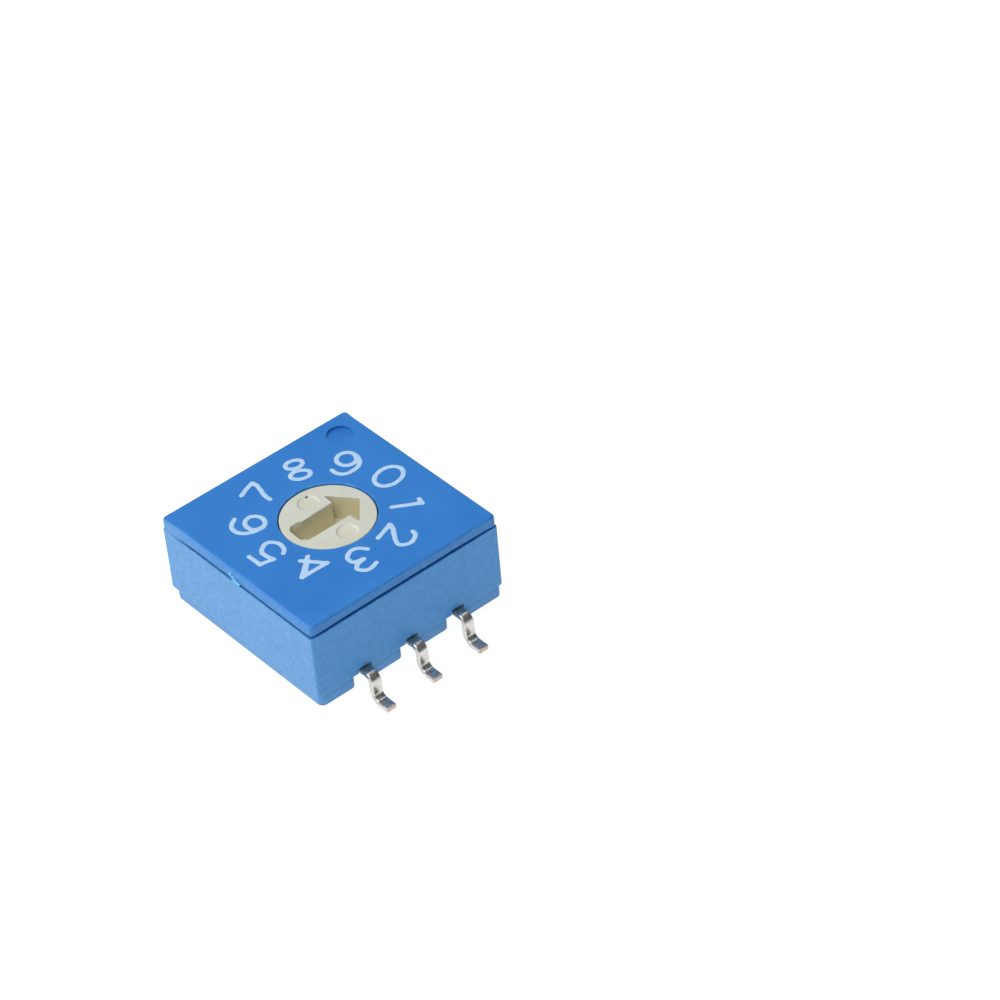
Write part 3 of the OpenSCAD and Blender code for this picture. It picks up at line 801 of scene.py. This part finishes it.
# ------------------------------------------------------------------ housing
def build_housing():
    cr, tr, br = 0.13, 0.020, 0.115
    loops = [square_loop(HALF - 0.16, cr, STEP), square_loop(HALF - br, cr, STEP)]
    for c, s_ in arc(br, -72, 0, 6):
        loops.append(square_loop(HALF - br + c, cr, STEP + 0.115 + s_))

    def rim(c, s_):
        def move(x, y):
            q = 1.0 - 0.9 * closed_part(x, y)
            return -(tr - c) * q, (tr - s_) * (1 - q)
        return move

    for c, s_ in arc(tr, 0, 90, 3):
        loops.append(ring(HALF, cr, SEAM - tr + s_, rim(c, s_)))
    # the joint face falls away behind its edge, so the open part of the joint looks deep
    fall = lambda d: (lambda x, y: (-0.07 if d < 1 else -0.09, -0.06 * d * (1 - closed_part(x, y))))
    loops += [ring(HALF, cr, SEAM, lambda x, y: (-0.05, 0.0)), ring(HALF, cr, SEAM, fall(0.85)), ring(HALF, cr, SEAM, fall(1.0))]
    loops += [square_loop(HALF - 0.36, 0.1, SEAM - 0.06), square_loop(HALF - 0.40, 0.1, SEAM)]
    loops += [square_loop(CAV, 0.1, SEAM), square_loop(CAV, 0.1, STEP)]
    ob = loft("switch_housing", loops, closed=True)
    ribs = [box_body("t", CAV - 0.4 if s > 0 else -CAV - 0.05, CAV + 0.05 if s > 0 else -CAV + 0.4, CAV - 0.40,
                     CAV - 0.16, 2.72, 3.5) for s in (-1, 1)]
    boolean(ob, ribs, "UNION")
    cuts = [box_body("t", s * HALF - 0.9, s * HALF + 0.9, k * PITCH - LEAD_W / 2 - 0.012, k * PITCH + LEAD_W / 2 + 0.012,
                     STEP - 0.4, LEAD_TOP + 0.01) for s in (-1, 1) for k in (-1, 0, 1)]
    boolean(ob, cuts)
    # the mould stood clear of each lead, which leaves a shallow pocket round its exit
    for s in (-1, 1):
        for k in (-1, 0, 1):
            o = round_outline([(k * PITCH - 0.33, STEP - 0.4), (k * PITCH + 0.33, STEP - 0.4), (k * PITCH + 0.33, LEAD_TOP + 0.075),
                               (k * PITCH - 0.33, LEAD_TOP + 0.075)], [0, 0, 0.07, 0.07], 4)
            lv = [(HALF - 0.26, -0.03), (HALF - 0.22, 0.0), (HALF - 0.03, 0.0), (HALF, 0.028), (HALF + 0.3, 0.028)]
            loops = [[(s * x, p[0], p[1]) for p in offset_outline(o, d)] for x, d in lv]
            boolean(ob, [loft("t", loops)])
    return ob


finish_piece(build_housing(), "case", [M_HOUSING], replaces=["housing"], angle=50)


# ------------------------------------------------------------------ base
def base_outline():
    """Counter-clockwise outline with a notch round each lead; the mouths are rounded.

    The base sits a little towards +Y in the housing."""
    pts, rad = [], []
    w, d, h = 0.51, 0.8, BHALF
    front, back = -(h - 0.075), h + 0.01

    def add(x, y, r):
        pts.append((x, y))
        rad.append(r)

    add(h, front, 0.30)
    for k in (-1, 0, 1):
        y = k * PITCH
        add(h, y - w, 0.22); add(h - d, y - w, 0.10); add(h - d, y + w, 0.10); add(h, y + w, 0.22)
    add(h, back, 0.24)
    add(-h, back, 0.30)
    for k in (1, 0, -1):
        y = k * PITCH
        add(-h, y + w, 0.22); add(-h + d, y + w, 0.10); add(-h + d, y - w, 0.10); add(-h, y - w, 0.22)
    add(-h, front, 0.30)
    return round_outline(pts, rad, 6)


def stroke_outline(points, r, n=10):
    """Outline of one straight bar with round ends."""
    (x0, y0), (x1, y1) = points
    a = math.atan2(y1 - y0, x1 - x0)
    out = [(x1 + r * math.cos(a - math.pi / 2 + math.pi * k / n), y1 + r * math.sin(a - math.pi / 2 + math.pi * k / n))
           for k in range(n + 1)]
    out += [(x0 + r * math.cos(a + math.pi / 2 + math.pi * k / n), y0 + r * math.sin(a + math.pi / 2 + math.pi * k / n))
            for k in range(n + 1)]
    return out


def build_base():
    o = base_outline()
    levels = [(BASE, -0.075), (BASE + 0.008, -0.045), (BASE + 0.027, -0.018), (BASE + 0.06, -0.004), (BASE + 0.10, 0.0),
              (STEP - 0.03, 0.0), (STEP - 0.012, -0.005), (STEP, -0.02)]
    ob = prism("switch_base", o, 0, 0, grow=levels)
    return ob


base = build_base()
zp = BASE + 0.2
panel = prism("t", round_outline([(-2.96, -3.93), (2.96, -3.93), (2.96, 3.93), (-2.96, 3.93)], [0.12] * 4, 5), 0, 0,
              grow=[(BASE - 0.4, 0.03), (BASE, 0.03), (BASE + 0.012, 0.006), (BASE + 0.03, 0.0), (zp - 0.02, -0.008), (zp, -0.028)])
boolean(base, [panel])
square = prism("t", round_outline([(-1.38, -1.38), (1.38, -1.38), (1.38, 1.38), (-1.38, 1.38)], [0.08] * 4, 4), 0, 0,
               grow=[(BASE + 0.03, -0.035), (BASE + 0.042, -0.012), (BASE + 0.07, 0.0), (zp + 0.05, 0.0)])
boolean(base, [square], "UNION")
feet = []
for sx in (-1, 1):
    for sy in (-1, 1):
        feet.append(lathe("t", [(0.36, 0.44), (0.425, 0.452), (0.462, 0.485), (0.48, 0.54), (0.485, BASE + 0.012),
                                (0.51, BASE + 0.001), (0.51, BASE + 0.2)], 64, cx=sx * 4.28, cy=sy * 4.28))
boolean(base, feet, "UNION")
# plateau that fits into the housing, with the bearing for the lower pin
plateau = prism("t", round_outline([(-PLUG, -PLUG), (PLUG, -PLUG), (PLUG, PLUG), (-PLUG, PLUG)], [0.3] * 4, 5), STEP - 0.1, LEAD_TOP)
bearing = lathe("t", [(1.12, LEAD_TOP - 0.1), (1.12, 2.0), (1.09, 2.015)], 64)
boolean(base, [plateau, bearing], "UNION")
cuts = [lathe("t", [(0.78, 0.98), (0.78, 3.0)], 64),
        lathe("t", [(0.63, BASE - 0.3), (0.63, BASE + 0.03), (0.605, BASE + 0.045), (0.60, BASE + 0.12), (0.57, BASE + 0.15)], 64)]
for hx, hy in HOLES:
    cuts.append(lathe("t", [(0.40, BASE - 0.1), (0.40, zp - 0.012), (0.355, zp + 0.005), (0.315, zp + 0.03), (0.30, zp + 0.07),
                            (0.29, LEAD_TOP + 0.3)], 40, cx=hx, cy=hy))
boolean(base, cuts)
for s in (-1, 1):       # seats of the lead frames, open to the notches
    for k in (-1, 0, 1):
        x0, x1 = (2.6, 4.4) if s > 0 else (-4.4, -2.6)
        boolean(base, [box_body("t", x0, x1, k * PITCH - 0.262, k * PITCH + 0.262, LEAD_TOP - LEAD_T, LEAD_TOP + 0.2)])


def mark(x, y, kind):
    """Raised generic terminal mark, read from below: x along +X, y along -Y."""
    z0, z1, r = zp - 0.062, zp + 0.03, 0.066
    grow = [(z0, -0.022), (z0 + 0.012, -0.006), (z0 + 0.035, 0.0), (z1, 0.004)]
    strokes = []

    def ring_or_arc(cx, cy, rr, a0, a1):
        full = a1 - a0 >= 360
        n = 30
        ang = [math.radians(a0 + (a1 - a0) * i / n) for i in range(n if full else n + 1)]
        cps = [(cx + rr * math.cos(a), cy + rr * math.sin(a)) for a in ang]
        strokes.append((cps, full))

    def line(*p):
        strokes.append((list(p), False))

    if kind == "8":
        ring_or_arc(0, 0.32, 0.27, 0, 360); ring_or_arc(0, -0.30, 0.33, 0, 360)
    elif kind == "C":
        ring_or_arc(0, 0, 0.5, 48, 312)
    elif kind == "2":
        ring_or_arc(0, 0.28, 0.31, -25, 165); line((0.28, 0.15), (-0.33, -0.58)); line((-0.33, -0.58), (0.36, -0.58))
    elif kind == "1":
        line((0.08, 0.6), (0.08, -0.6)); line((0.08, 0.6), (-0.2, 0.36))
    elif kind == "4":
        line((0.14, 0.6), (0.14, -0.6)); line((0.14, 0.6), (-0.34, -0.2)); line((-0.34, -0.2), (0.36, -0.2))
    bodies = []
    for j, (cps, full) in enumerate(strokes):
        z0, z1 = zp - 0.062 + 0.0017 * j, zp + 0.03 + 0.0013 * j
        rings = []
        npt = len(cps)
        seq = list(range(npt)) if full else list(range(npt))
        sec = [(-0.066, z1), (-0.064, z0 + 0.03), (-0.045, z0 + 0.006), (-0.02, z0), (0.02, z0), (0.045, z0 + 0.006),
               (0.064, z0 + 0.03), (0.066, z1)]
        def place(i, scale=1.0, push=0.0):
            a = Vector(cps[(i - 1) % npt]) if full or i > 0 else Vector(cps[i])
            b = Vector(cps[(i + 1) % npt]) if full or i < npt - 1 else Vector(cps[i])
            t = (b - a).normalized()
            nrm = Vector((t.y, -t.x))
            c = Vector(cps[i]) + t * push
            return [(x + (c.x + nrm.x * u * scale), y - (c.y + nrm.y * u * scale),
                     z0 + (zz - z0) if scale > 0.9 else max(zz, z0 + 0.02 * (1 - scale) * 2)) for u, zz in sec]
        if full:
            rings = [place(i) for i in seq]
            bodies.append(loft("t", rings, closed=True))
        else:
            rings = [place(0, 0.45, -0.058), place(0, 0.85, -0.035)] + [place(i) for i in seq] + \
                    [place(npt - 1, 0.85, 0.035), place(npt - 1, 0.45, 0.058)]
            bodies.append(loft("t", rings))
    return bodies


marks = []
for x, y, kind in [(-1.05, -2.95, "8"), (-2.0, -0.1, "C"), (2.1, -0.12, "C"), (-1.05, 3.0, "2"), (2.2, -3.0, "1"), (1.35, 2.9, "4")]:
    marks += mark(x, y, kind)
boolean(base, marks, "UNION")
base.name = "switch_base"
finish_piece(base, "case", [M_HOUSING], replaces=["base"], angle=50)


# ------------------------------------------------------------------ rotor with its dial
def build_rotor():
    low = cad_copy("rotor", [Vector((0, 0, 3.7))], [Vector((0, 0, -1))], "low")
    er = 0.035
    prof = [(DIAL, 3.7)]
    prof += [(DIAL - er + c, TOP - er + s) for c, s in arc(er, 0, 90, 4)]
    prof += [(DIAL - er - 0.04, TOP), (1.0, TOP)]
    ob = lathe("dial", prof, 128)
    head = [(0.02, 1.72), (-1.14, 0.80), (-1.10, 0.74), (-0.59, 0.72)]
    rest = [(0.34, -1.75), (0.595, -1.46), (0.585, -1.15), (0.575, 0.725), (0.70, 0.745), (0.80, 0.715), (0.91, 0.752),
            (1.02, 0.728), (1.10, 0.745), (1.14, 0.80)]
    # the rim bulges round the tail of the slot; the walls below it run straight
    low_tail = [(-0.574, -0.45), (-0.568, -0.93), (-0.585, -1.20), (-0.580, -1.52), (-0.42, -1.715)]
    rim_tail = [(-0.562, -0.45), (-0.530, -0.90), (-0.640, -1.17), (-0.625, -1.50), (-0.43, -1.715)]
    rr = [0.02, 0.03, 0.03, 0.06, 0.9, 0.14, 0.14, 0.14, 0.16, 0.16, 0.15, 0.20, 0.06, 0.10, 0.10, 0.10, 0.10, 0.02, 0.03]
    zf = TOP - 1.25
    levels = []
    for z, w, d in ((zf, 0.0, -0.03), (zf + 0.03, 0.0, 0.0), (TOP - 0.34, 0.0, 0.0), (TOP - 0.22, 0.15, 0.0), (TOP - 0.13, 0.5, 0.0),
                    (TOP - 0.07, 0.85, 0.0), (TOP - 0.038, 1.0, 0.0), (TOP - 0.022, 1.0, 0.004), (TOP - 0.009, 1.0, 0.012),
                    (TOP, 1.0, 0.026), (TOP + 0.3, 1.0, 0.026)):
        tail = [(a[0] + (b[0] - a[0]) * w, a[1] + (b[1] - a[1]) * w) for a, b in zip(low_tail, rim_tail)]
        levels.append([(x, y, z) for x, y in offset_outline(round_outline(head + tail + rest, rr, 6), d)])
    slot = loft("t", levels)
    boolean(ob, [slot])
    for mx, my, dep in ((-1.29, -0.02, 0.05), (1.33, -0.02, 0.06)):
        z = TOP - dep
        boolean(ob, [lathe("t", [(0.36, z), (0.42, z + 0.004), (0.455, z + 0.016), (0.468, z + 0.032), (0.478, TOP - 0.006),
                                 (0.492, TOP), (0.50, TOP + 0.2)], 56, cx=mx, cy=my)])
    boolean(ob, [low], "UNION")
    ob.name = "switch_rotor"
    return ob


finish_piece(build_rotor(), "dial", [M_DIAL], replaces=["rotor"], angle=50, flat_z=TOP)


# ------------------------------------------------------------------ leads
def lead_path():
    """(x, z, angle of the outward normal) along the middle of the strip, from the wall to the tip."""
    pts = []
    zc = LEAD_TOP - LEAD_T / 2
    for x in np.linspace(4.86, 5.30, 8):
        pts.append((float(x), zc, 90.0))
    for k in range(1, 17):
        a = 90 - 90 * k / 16
        pts.append((5.30 + 0.345 * math.cos(math.radians(a)), 0.995 + 0.345 * math.sin(math.radians(a)), a))
    for z in np.linspace(0.995, 0.55, 10)[1:]:
        pts.append((5.645, float(z), 0.0))
    for k in range(1, 17):
        a = 180 + 90 * k / 16
        pts.append((6.07 + 0.425 * math.cos(math.radians(a)), 0.55 + 0.425 * math.sin(math.radians(a)), a - 180))
    for x in np.linspace(6.07, 6.58, 9)[1:]:
        pts.append((float(x), 0.125, 90.0))
    return pts


def build_lead(name, side, y0, seed):
    """Swept strip with rounded edges, from just inside the housing to the cut end."""
    path = lead_path()
    hw, ht = LEAD_W / 2, LEAD_T / 2
    top_r, bot_r = 0.060, 0.030
    sec = []
    for cx, cy, a0, r in ((hw - top_r, ht - top_r, 0, top_r), (-hw + top_r, ht - top_r, 90, top_r),
                          (-hw + bot_r, -ht + bot_r, 180, bot_r), (hw - bot_r, -ht + bot_r, 270, bot_r)):
        for c, s in arc(r, a0, a0 + 90, 5):
            sec.append((cx + c, cy + s))
    rings = []
    npt = len(path)
    rnd = 6.3 * seed
    length = 0.0
    for i, (x, z, a) in enumerate(path):
        if i:
            length += math.hypot(x - path[i - 1][0], z - path[i - 1][1])
        ca, sa = math.cos(math.radians(a)), math.sin(math.radians(a))
        tip = (npt - 1 - i)
        ring = []
        for u, v in sec:
            k = noise.noise(Vector((length * 2.1 + rnd, u * 3.0, v * 4.0)))
            w = 0.006 * k
            uu = u + (0.004 * noise.noise(Vector((length * 6 + rnd, 3.1 if u > 0 else 7.7, 0.0))))
            vv = v + (w if v > 0 else 0.0)
            if z < 0.2:      # the sole of the foot stays flat
                vv = v + (w if v > 0.02 else 0.0)
            ring.append((side * (x + ca * vv), y0 + uu, z + sa * vv))
        rings.append(ring)
    # rounded cut end
    last_x = path[-1][0]
    for dx, k in ((-0.030, 1.0), (-0.010, 0.975), (0.0, 0.93)):
        x = last_x + dx
        ring = [(side * x, y0 + u * k, 0.125 + v * k) for u, v in sec]
        if dx == -0.030:
            rings[-1] = ring
        else:
            rings.append(ring)
    ob = loft(name, rings)
    # the cut end shows bare alloy
    me = ob.data
    for p in me.polygons:
        cxp = abs(p.center.x)
        if cxp > last_x - 0.008 and abs(p.normal.x) > 0.5:
            p.material_index = 1
    return ob


for node, leads in {"terminal_1": [(1, -1)], "terminal_common": [(1, 0), (-1, 0)], "terminal_4": [(1, 1)],
                    "terminal_8": [(-1, -1)], "terminal_2": [(-1, 1)]}.items():
    sides = {s for s, _ in leads}
    co, no = [], []
    for s in sides:
        co.append(Vector((s * 4.9, 0, 0)))
        no.append(Vector((-s, 0, 0)))
    inner = cad_copy(node, co, no, "inner")
    parts = [build_lead("lead", s, k * PITCH, 1 + abs(k + 2 * s) + k) for s, k in leads]
    ob = join("lead_frame_" + node.split("_")[1], [inner] + parts)
    finish_piece(ob, "case", [M_TIN, M_CUT], replaces=[node], angle=42)


# ------------------------------------------------------------------ printed numerals
def smooth(points, per=8, loop=False):
    """Catmull-Rom curve through the points."""
    p = [Vector(q) for q in points]
    n = len(p)
    if n == 2 and not loop:
        return [tuple(p[0].lerp(p[1], t / per)) for t in range(per + 1)]
    out = []
    for i in range(n if loop else n - 1):
        a = p[(i - 1) % n] if loop or i > 0 else p[0] * 2 - p[1]
        b, c = p[i], p[(i + 1) % n]
        d = p[(i + 2) % n] if loop or i + 2 < n else p[-1] * 2 - p[-2]
        for k in range(per):
            t = k / per
            out.append(tuple(0.5 * ((2 * b) + (c - a) * t + (2 * a - 5 * b + 4 * c - d) * t * t + (3 * b - a - 3 * c + d) * t ** 3)))
    out.append(tuple(p[0] if loop else p[-1]))
    return out


def ellipse(cx, cy, rx, ry, turn=0.0, n=40):
    t = math.radians(turn)
    return [(cx + rx * math.cos(a) * math.cos(t) - ry * math.sin(a) * math.sin(t),
             cy + rx * math.cos(a) * math.sin(t) + ry * math.sin(a) * math.cos(t))
            for a in [2 * math.pi * k / n for k in range(n + 1)]]


NUMERALS = {
    "0": [ellipse(-0.20, 3.50, 0.54, 0.71, 8)],
    "1": [smooth([(1.47, 2.31), (2.17, 3.37)]), smooth([(2.17, 3.37), (1.87, 3.47)])],
    "2": [smooth([(3.31, 1.90), (3.57, 1.83), (3.80, 1.43), (3.69, 1.07), (3.47, 0.95), (3.10, 1.10), (2.57, 1.43), (2.29, 1.50)]),
          smooth([(2.29, 1.50), (2.60, 0.60)])],
    "3": [smooth([(2.83, -0.17), (2.50, -0.43), (2.43, -0.77), (2.63, -1.10), (2.83, -1.17), (3.07, -1.10), (3.20, -0.70)]),
          smooth([(3.20, -0.70), (3.30, -1.10), (3.50, -1.27), (3.80, -1.10), (3.87, -0.83), (3.75, -0.45)])],
    "4": [smooth([(2.27, -3.20), (2.30, -1.90)]), smooth([(2.30, -1.90), (1.40, -2.60)]), smooth([(2.27, -3.20), (1.40, -2.20)]),
          smooth([(2.26, -3.10), (1.80, -2.58)])],
    "5": [smooth([(-0.33, -3.95), (0.40, -3.93)]), smooth([(0.40, -3.93), (0.53, -3.33)]),
          smooth([(0.53, -3.33), (0.17, -3.40), (-0.17, -3.40), (-0.43, -3.10), (-0.47, -2.83), (-0.23, -2.60), (0.03, -2.53),
                  (0.37, -2.63), (0.53, -2.80)])],
    "6": [ellipse(-1.89, -2.43, 0.46, 0.41),
          smooth([(-1.45, -2.42), (-1.47, -2.78), (-1.63, -3.12), (-1.90, -3.33), (-2.23, -3.36), (-2.50, -3.20), (-2.70, -2.90)])],
    "7": [smooth([(-3.70, -1.71), (-3.90, -1.28), (-4.02, -0.88)]), smooth([(-4.02, -0.88), (-3.82, -0.83), (-3.43, -0.90), (-3.00, -1.01),
                                                                          (-2.62, -1.00)])],
    "8": [ellipse(-3.73, 1.125, 0.39, 0.275, 74), ellipse(-2.99, 0.90, 0.437, 0.29, 63)],
    "9": [ellipse(-2.40, 2.97, 0.44, 0.44),
          smooth([(-2.25, 3.38), (-1.90, 3.29), (-1.68, 3.05), (-1.60, 2.76), (-1.62, 2.42), (-1.78, 2.16), (-2.03, 2.05), (-2.27, 2.05)])],
}
INK_R = 0.103


def numeral(name, strokes, r=INK_R, cell=0.032):
    """Flat print made of the area within r of the strokes, with a soft raised edge."""
    segs = [(a, b) for s in strokes for a, b in zip(s[:-1], s[1:])]
    A = np.array([a for a, _ in segs]); B = np.array([b for _, b in segs])
    lo = np.minimum(A, B).min(0) - r - 0.12
    hi = np.maximum(A, B).max(0) + r + 0.12
    nx, ny = [int(math.ceil(v)) + 1 for v in (hi - lo) / cell]
    X, Y = np.meshgrid(lo[0] + cell * np.arange(nx), lo[1] + cell * np.arange(ny), indexing="ij")
    P = np.stack([X, Y], -1).reshape(-1, 1, 2)
    AB = B - A
    L = np.maximum((AB ** 2).sum(-1), 1e-12)
    # each stroke is blended into the others, so that ink gathers where they meet
    dist = []
    start = 0
    for s in strokes:
        m = len(s) - 1
        a, ab, l = A[start:start + m], AB[start:start + m], L[start:start + m]
        t = np.clip(((P - a) * ab).sum(-1) / l, 0, 1)
        d = np.sqrt((((P - a) - t[..., None] * ab) ** 2).sum(-1)).min(1)
        dist.append(d)
        start += m
    k = 34.0
    d = -np.log(sum(np.exp(-k * v) for v in dist)) / k
    wob = np.array([noise.noise(Vector((float(x) * 2.6, float(y) * 2.6, 5.0))) * 0.012 +
                    noise.noise(Vector((float(x) * 8.5, float(y) * 8.5, 9.0))) * 0.007 for x, y in P[:, 0, :]])
    F = (r - d + wob).reshape(nx, ny)
    verts, index = [], {}

    def vertex(key, x, y, f):
        if key not in index:
            index[key] = len(verts)
            u = min(1.0, max(0.0, f / 0.045))
            verts.append((x, y, TOP + 0.0015 + 0.0085 * u * (2 - u)))
        return index[key]

    faces = []
    for i in range(nx - 1):
        for j in range(ny - 1):
            ring = [(i, j), (i + 1, j), (i + 1, j + 1), (i, j + 1)]
            f = [F[q] for q in ring]
            if max(f) <= 0:
                continue
            poly = []
            for q in range(4):
                p0, p1 = ring[q], ring[(q + 1) % 4]
                f0, f1 = f[q], f[(q + 1) % 4]
                if f0 > 0:
                    poly.append(vertex(p0, lo[0] + cell * p0[0], lo[1] + cell * p0[1], f0))
                if (f0 > 0) != (f1 > 0):
                    t = f0 / (f0 - f1)
                    t = min(0.97, max(0.03, t))
                    e0, e1 = sorted((p0, p1))
                    if e0 != p0:
                        t = 1 - t
                    poly.append(vertex((e0, e1), lo[0] + cell * (e0[0] + (e1[0] - e0[0]) * t),
                                       lo[1] + cell * (e0[1] + (e1[1] - e0[1]) * t), 0.0))
            if len(poly) >= 3:
                faces.append(tuple(poly))
    n = len(verts)
    low = [(x, y, TOP - 0.012) for x, y, _ in verts]
    edges = {}
    for f in faces:
        for a, b in zip(f, f[1:] + f[:1]):
            edges[(a, b)] = edges.get((a, b), 0) + 1
    sides = [(b, a, a + n, b + n) for (a, b) in edges if (b, a) not in edges]
    under = [tuple(v + n for v in reversed(f)) for f in faces]
    return new_object(name, list(verts) + low, faces + under + sides)


# the print is not perfectly placed
PRINT_SHIFT = {"0": (0.007, 0.007), "1": (0.005, -0.017), "3": (-0.005, 0.017), "4": (-0.007, -0.007), "5": (-0.027, -0.005),
               "7": (-0.015, -0.014), "8": (-0.005, 0.017), "9": (0.007, 0.007)}
for digit, strokes in NUMERALS.items():
    sx, sy = PRINT_SHIFT.get(digit, (0.0, 0.0))
    strokes = [[(x + sx, y + sy) for x, y in s] for s in strokes]
    finish_piece(numeral("numeral_" + digit, strokes), "case", [M_INK], angle=60, weighted=False)


# ------------------------------------------------------------------ carried-over CAD nodes
for node, material in (("o_ring", M_RUBBER), ("code_disc", M_GOLD), ("detent_spring", M_SPRING)):
    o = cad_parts[node]
    o.data.materials.clear()
    o.data.materials.append(material)

# ------------------------------------------------------------------ floor, light and camera
floor_mesh = bpy.data.meshes.new("floor")
bm = bmesh.new()
bmesh.ops.create_grid(bm, x_segments=24, y_segments=24, size=3.0)
for v in bm.verts:
    v.co.z = -0.00003
bm.to_mesh(floor_mesh)
bm.free()
floor = bpy.data.objects.new("floor", floor_mesh)
floor.data.materials.append(mat_floor())
scene.collection.objects.link(floor)


def area(name, where, at, size, power, colour=(1, 1, 1), size_y=None):
    d = bpy.data.lights.new(name, "AREA")
    d.shape = "RECTANGLE"
    d.size, d.size_y = size, size_y or size
    d.energy = power
    d.color = colour
    o = bpy.data.objects.new(name, d)
    o.location = where
    o.rotation_euler = (Vector(at) - Vector(where)).to_track_quat("-Z", "Y").to_euler()
    scene.collection.objects.link(o)
    return o


area("key_softbox", (-0.45, -0.62, 0.42), (0, 0, 0), 0.70, 3.8, (1.0, 0.945, 0.87))
area("top_softbox", (0.10, -0.30, 0.86), (0, 0, 0), 0.76, 6.8)
area("rim_strip", (-0.07, 0.40, 0.83), (0, 0, 0), 0.15, 0.24)
area("fill_softbox", (0.66, -0.38, 0.40), (0, 0, 0), 0.60, 0.70, (0.56, 0.89, 1.0))

world = bpy.data.worlds.new("studio")
scene.world = world
world.use_nodes = True
wt = world.node_tree
wt.nodes.clear()
wo = wt.nodes.new("ShaderNodeOutputWorld")
wb = wt.nodes.new("ShaderNodeBackground")
wc = wt.nodes.new("ShaderNodeTexCoord")
dot = wt.nodes.new("ShaderNodeVectorMath")
dot.operation = "DOT_PRODUCT"
dot.inputs[1].default_value = Vector((0.62, 0.55, 0.56)).normalized()
ramp = wt.nodes.new("ShaderNodeValToRGB")
ramp.color_ramp.elements[0].position = 0.30
ramp.color_ramp.elements[0].color = (1.0, 1.0, 1.0, 1)
ramp.color_ramp.elements[1].position = 0.90
ramp.color_ramp.elements[1].color = (0.53, 0.55, 0.55, 1)
wt.links.new(wc.outputs["Generated"], dot.inputs[0])
wt.links.new(dot.outputs["Value"], ramp.inputs[0])
wt.links.new(ramp.outputs[0], wb.inputs[0])
wb.inputs[1].default_value = 0.19
wt.links.new(wb.outputs[0], wo.inputs[0])

scene.view_settings.view_transform = "Standard"
scene.view_settings.look = "None"
scene.view_settings.exposure = 0.0
scene.view_settings.gamma = 1.0

cam_data = bpy.data.cameras.new("camera")
cam_data.sensor_width = 36.0
cam_data.lens = 136.8851
cam_data.shift_x = -0.00045
cam_data.shift_y = 0.0004
cam_data.clip_start = 0.01
cam_data.clip_end = 20.0
cam = bpy.data.objects.new("camera", cam_data)
cam.rotation_mode = "QUATERNION"
cam.rotation_quaternion = Quaternion((0.8304302633362868, 0.37121408264431116, 0.20355205885073221, 0.3621494745535272))
cam.location = (0.1015133489, -0.0692460788, 0.1077299154)
scene.collection.objects.link(cam)
scene.camera = cam

bpy.context.view_layer.update()
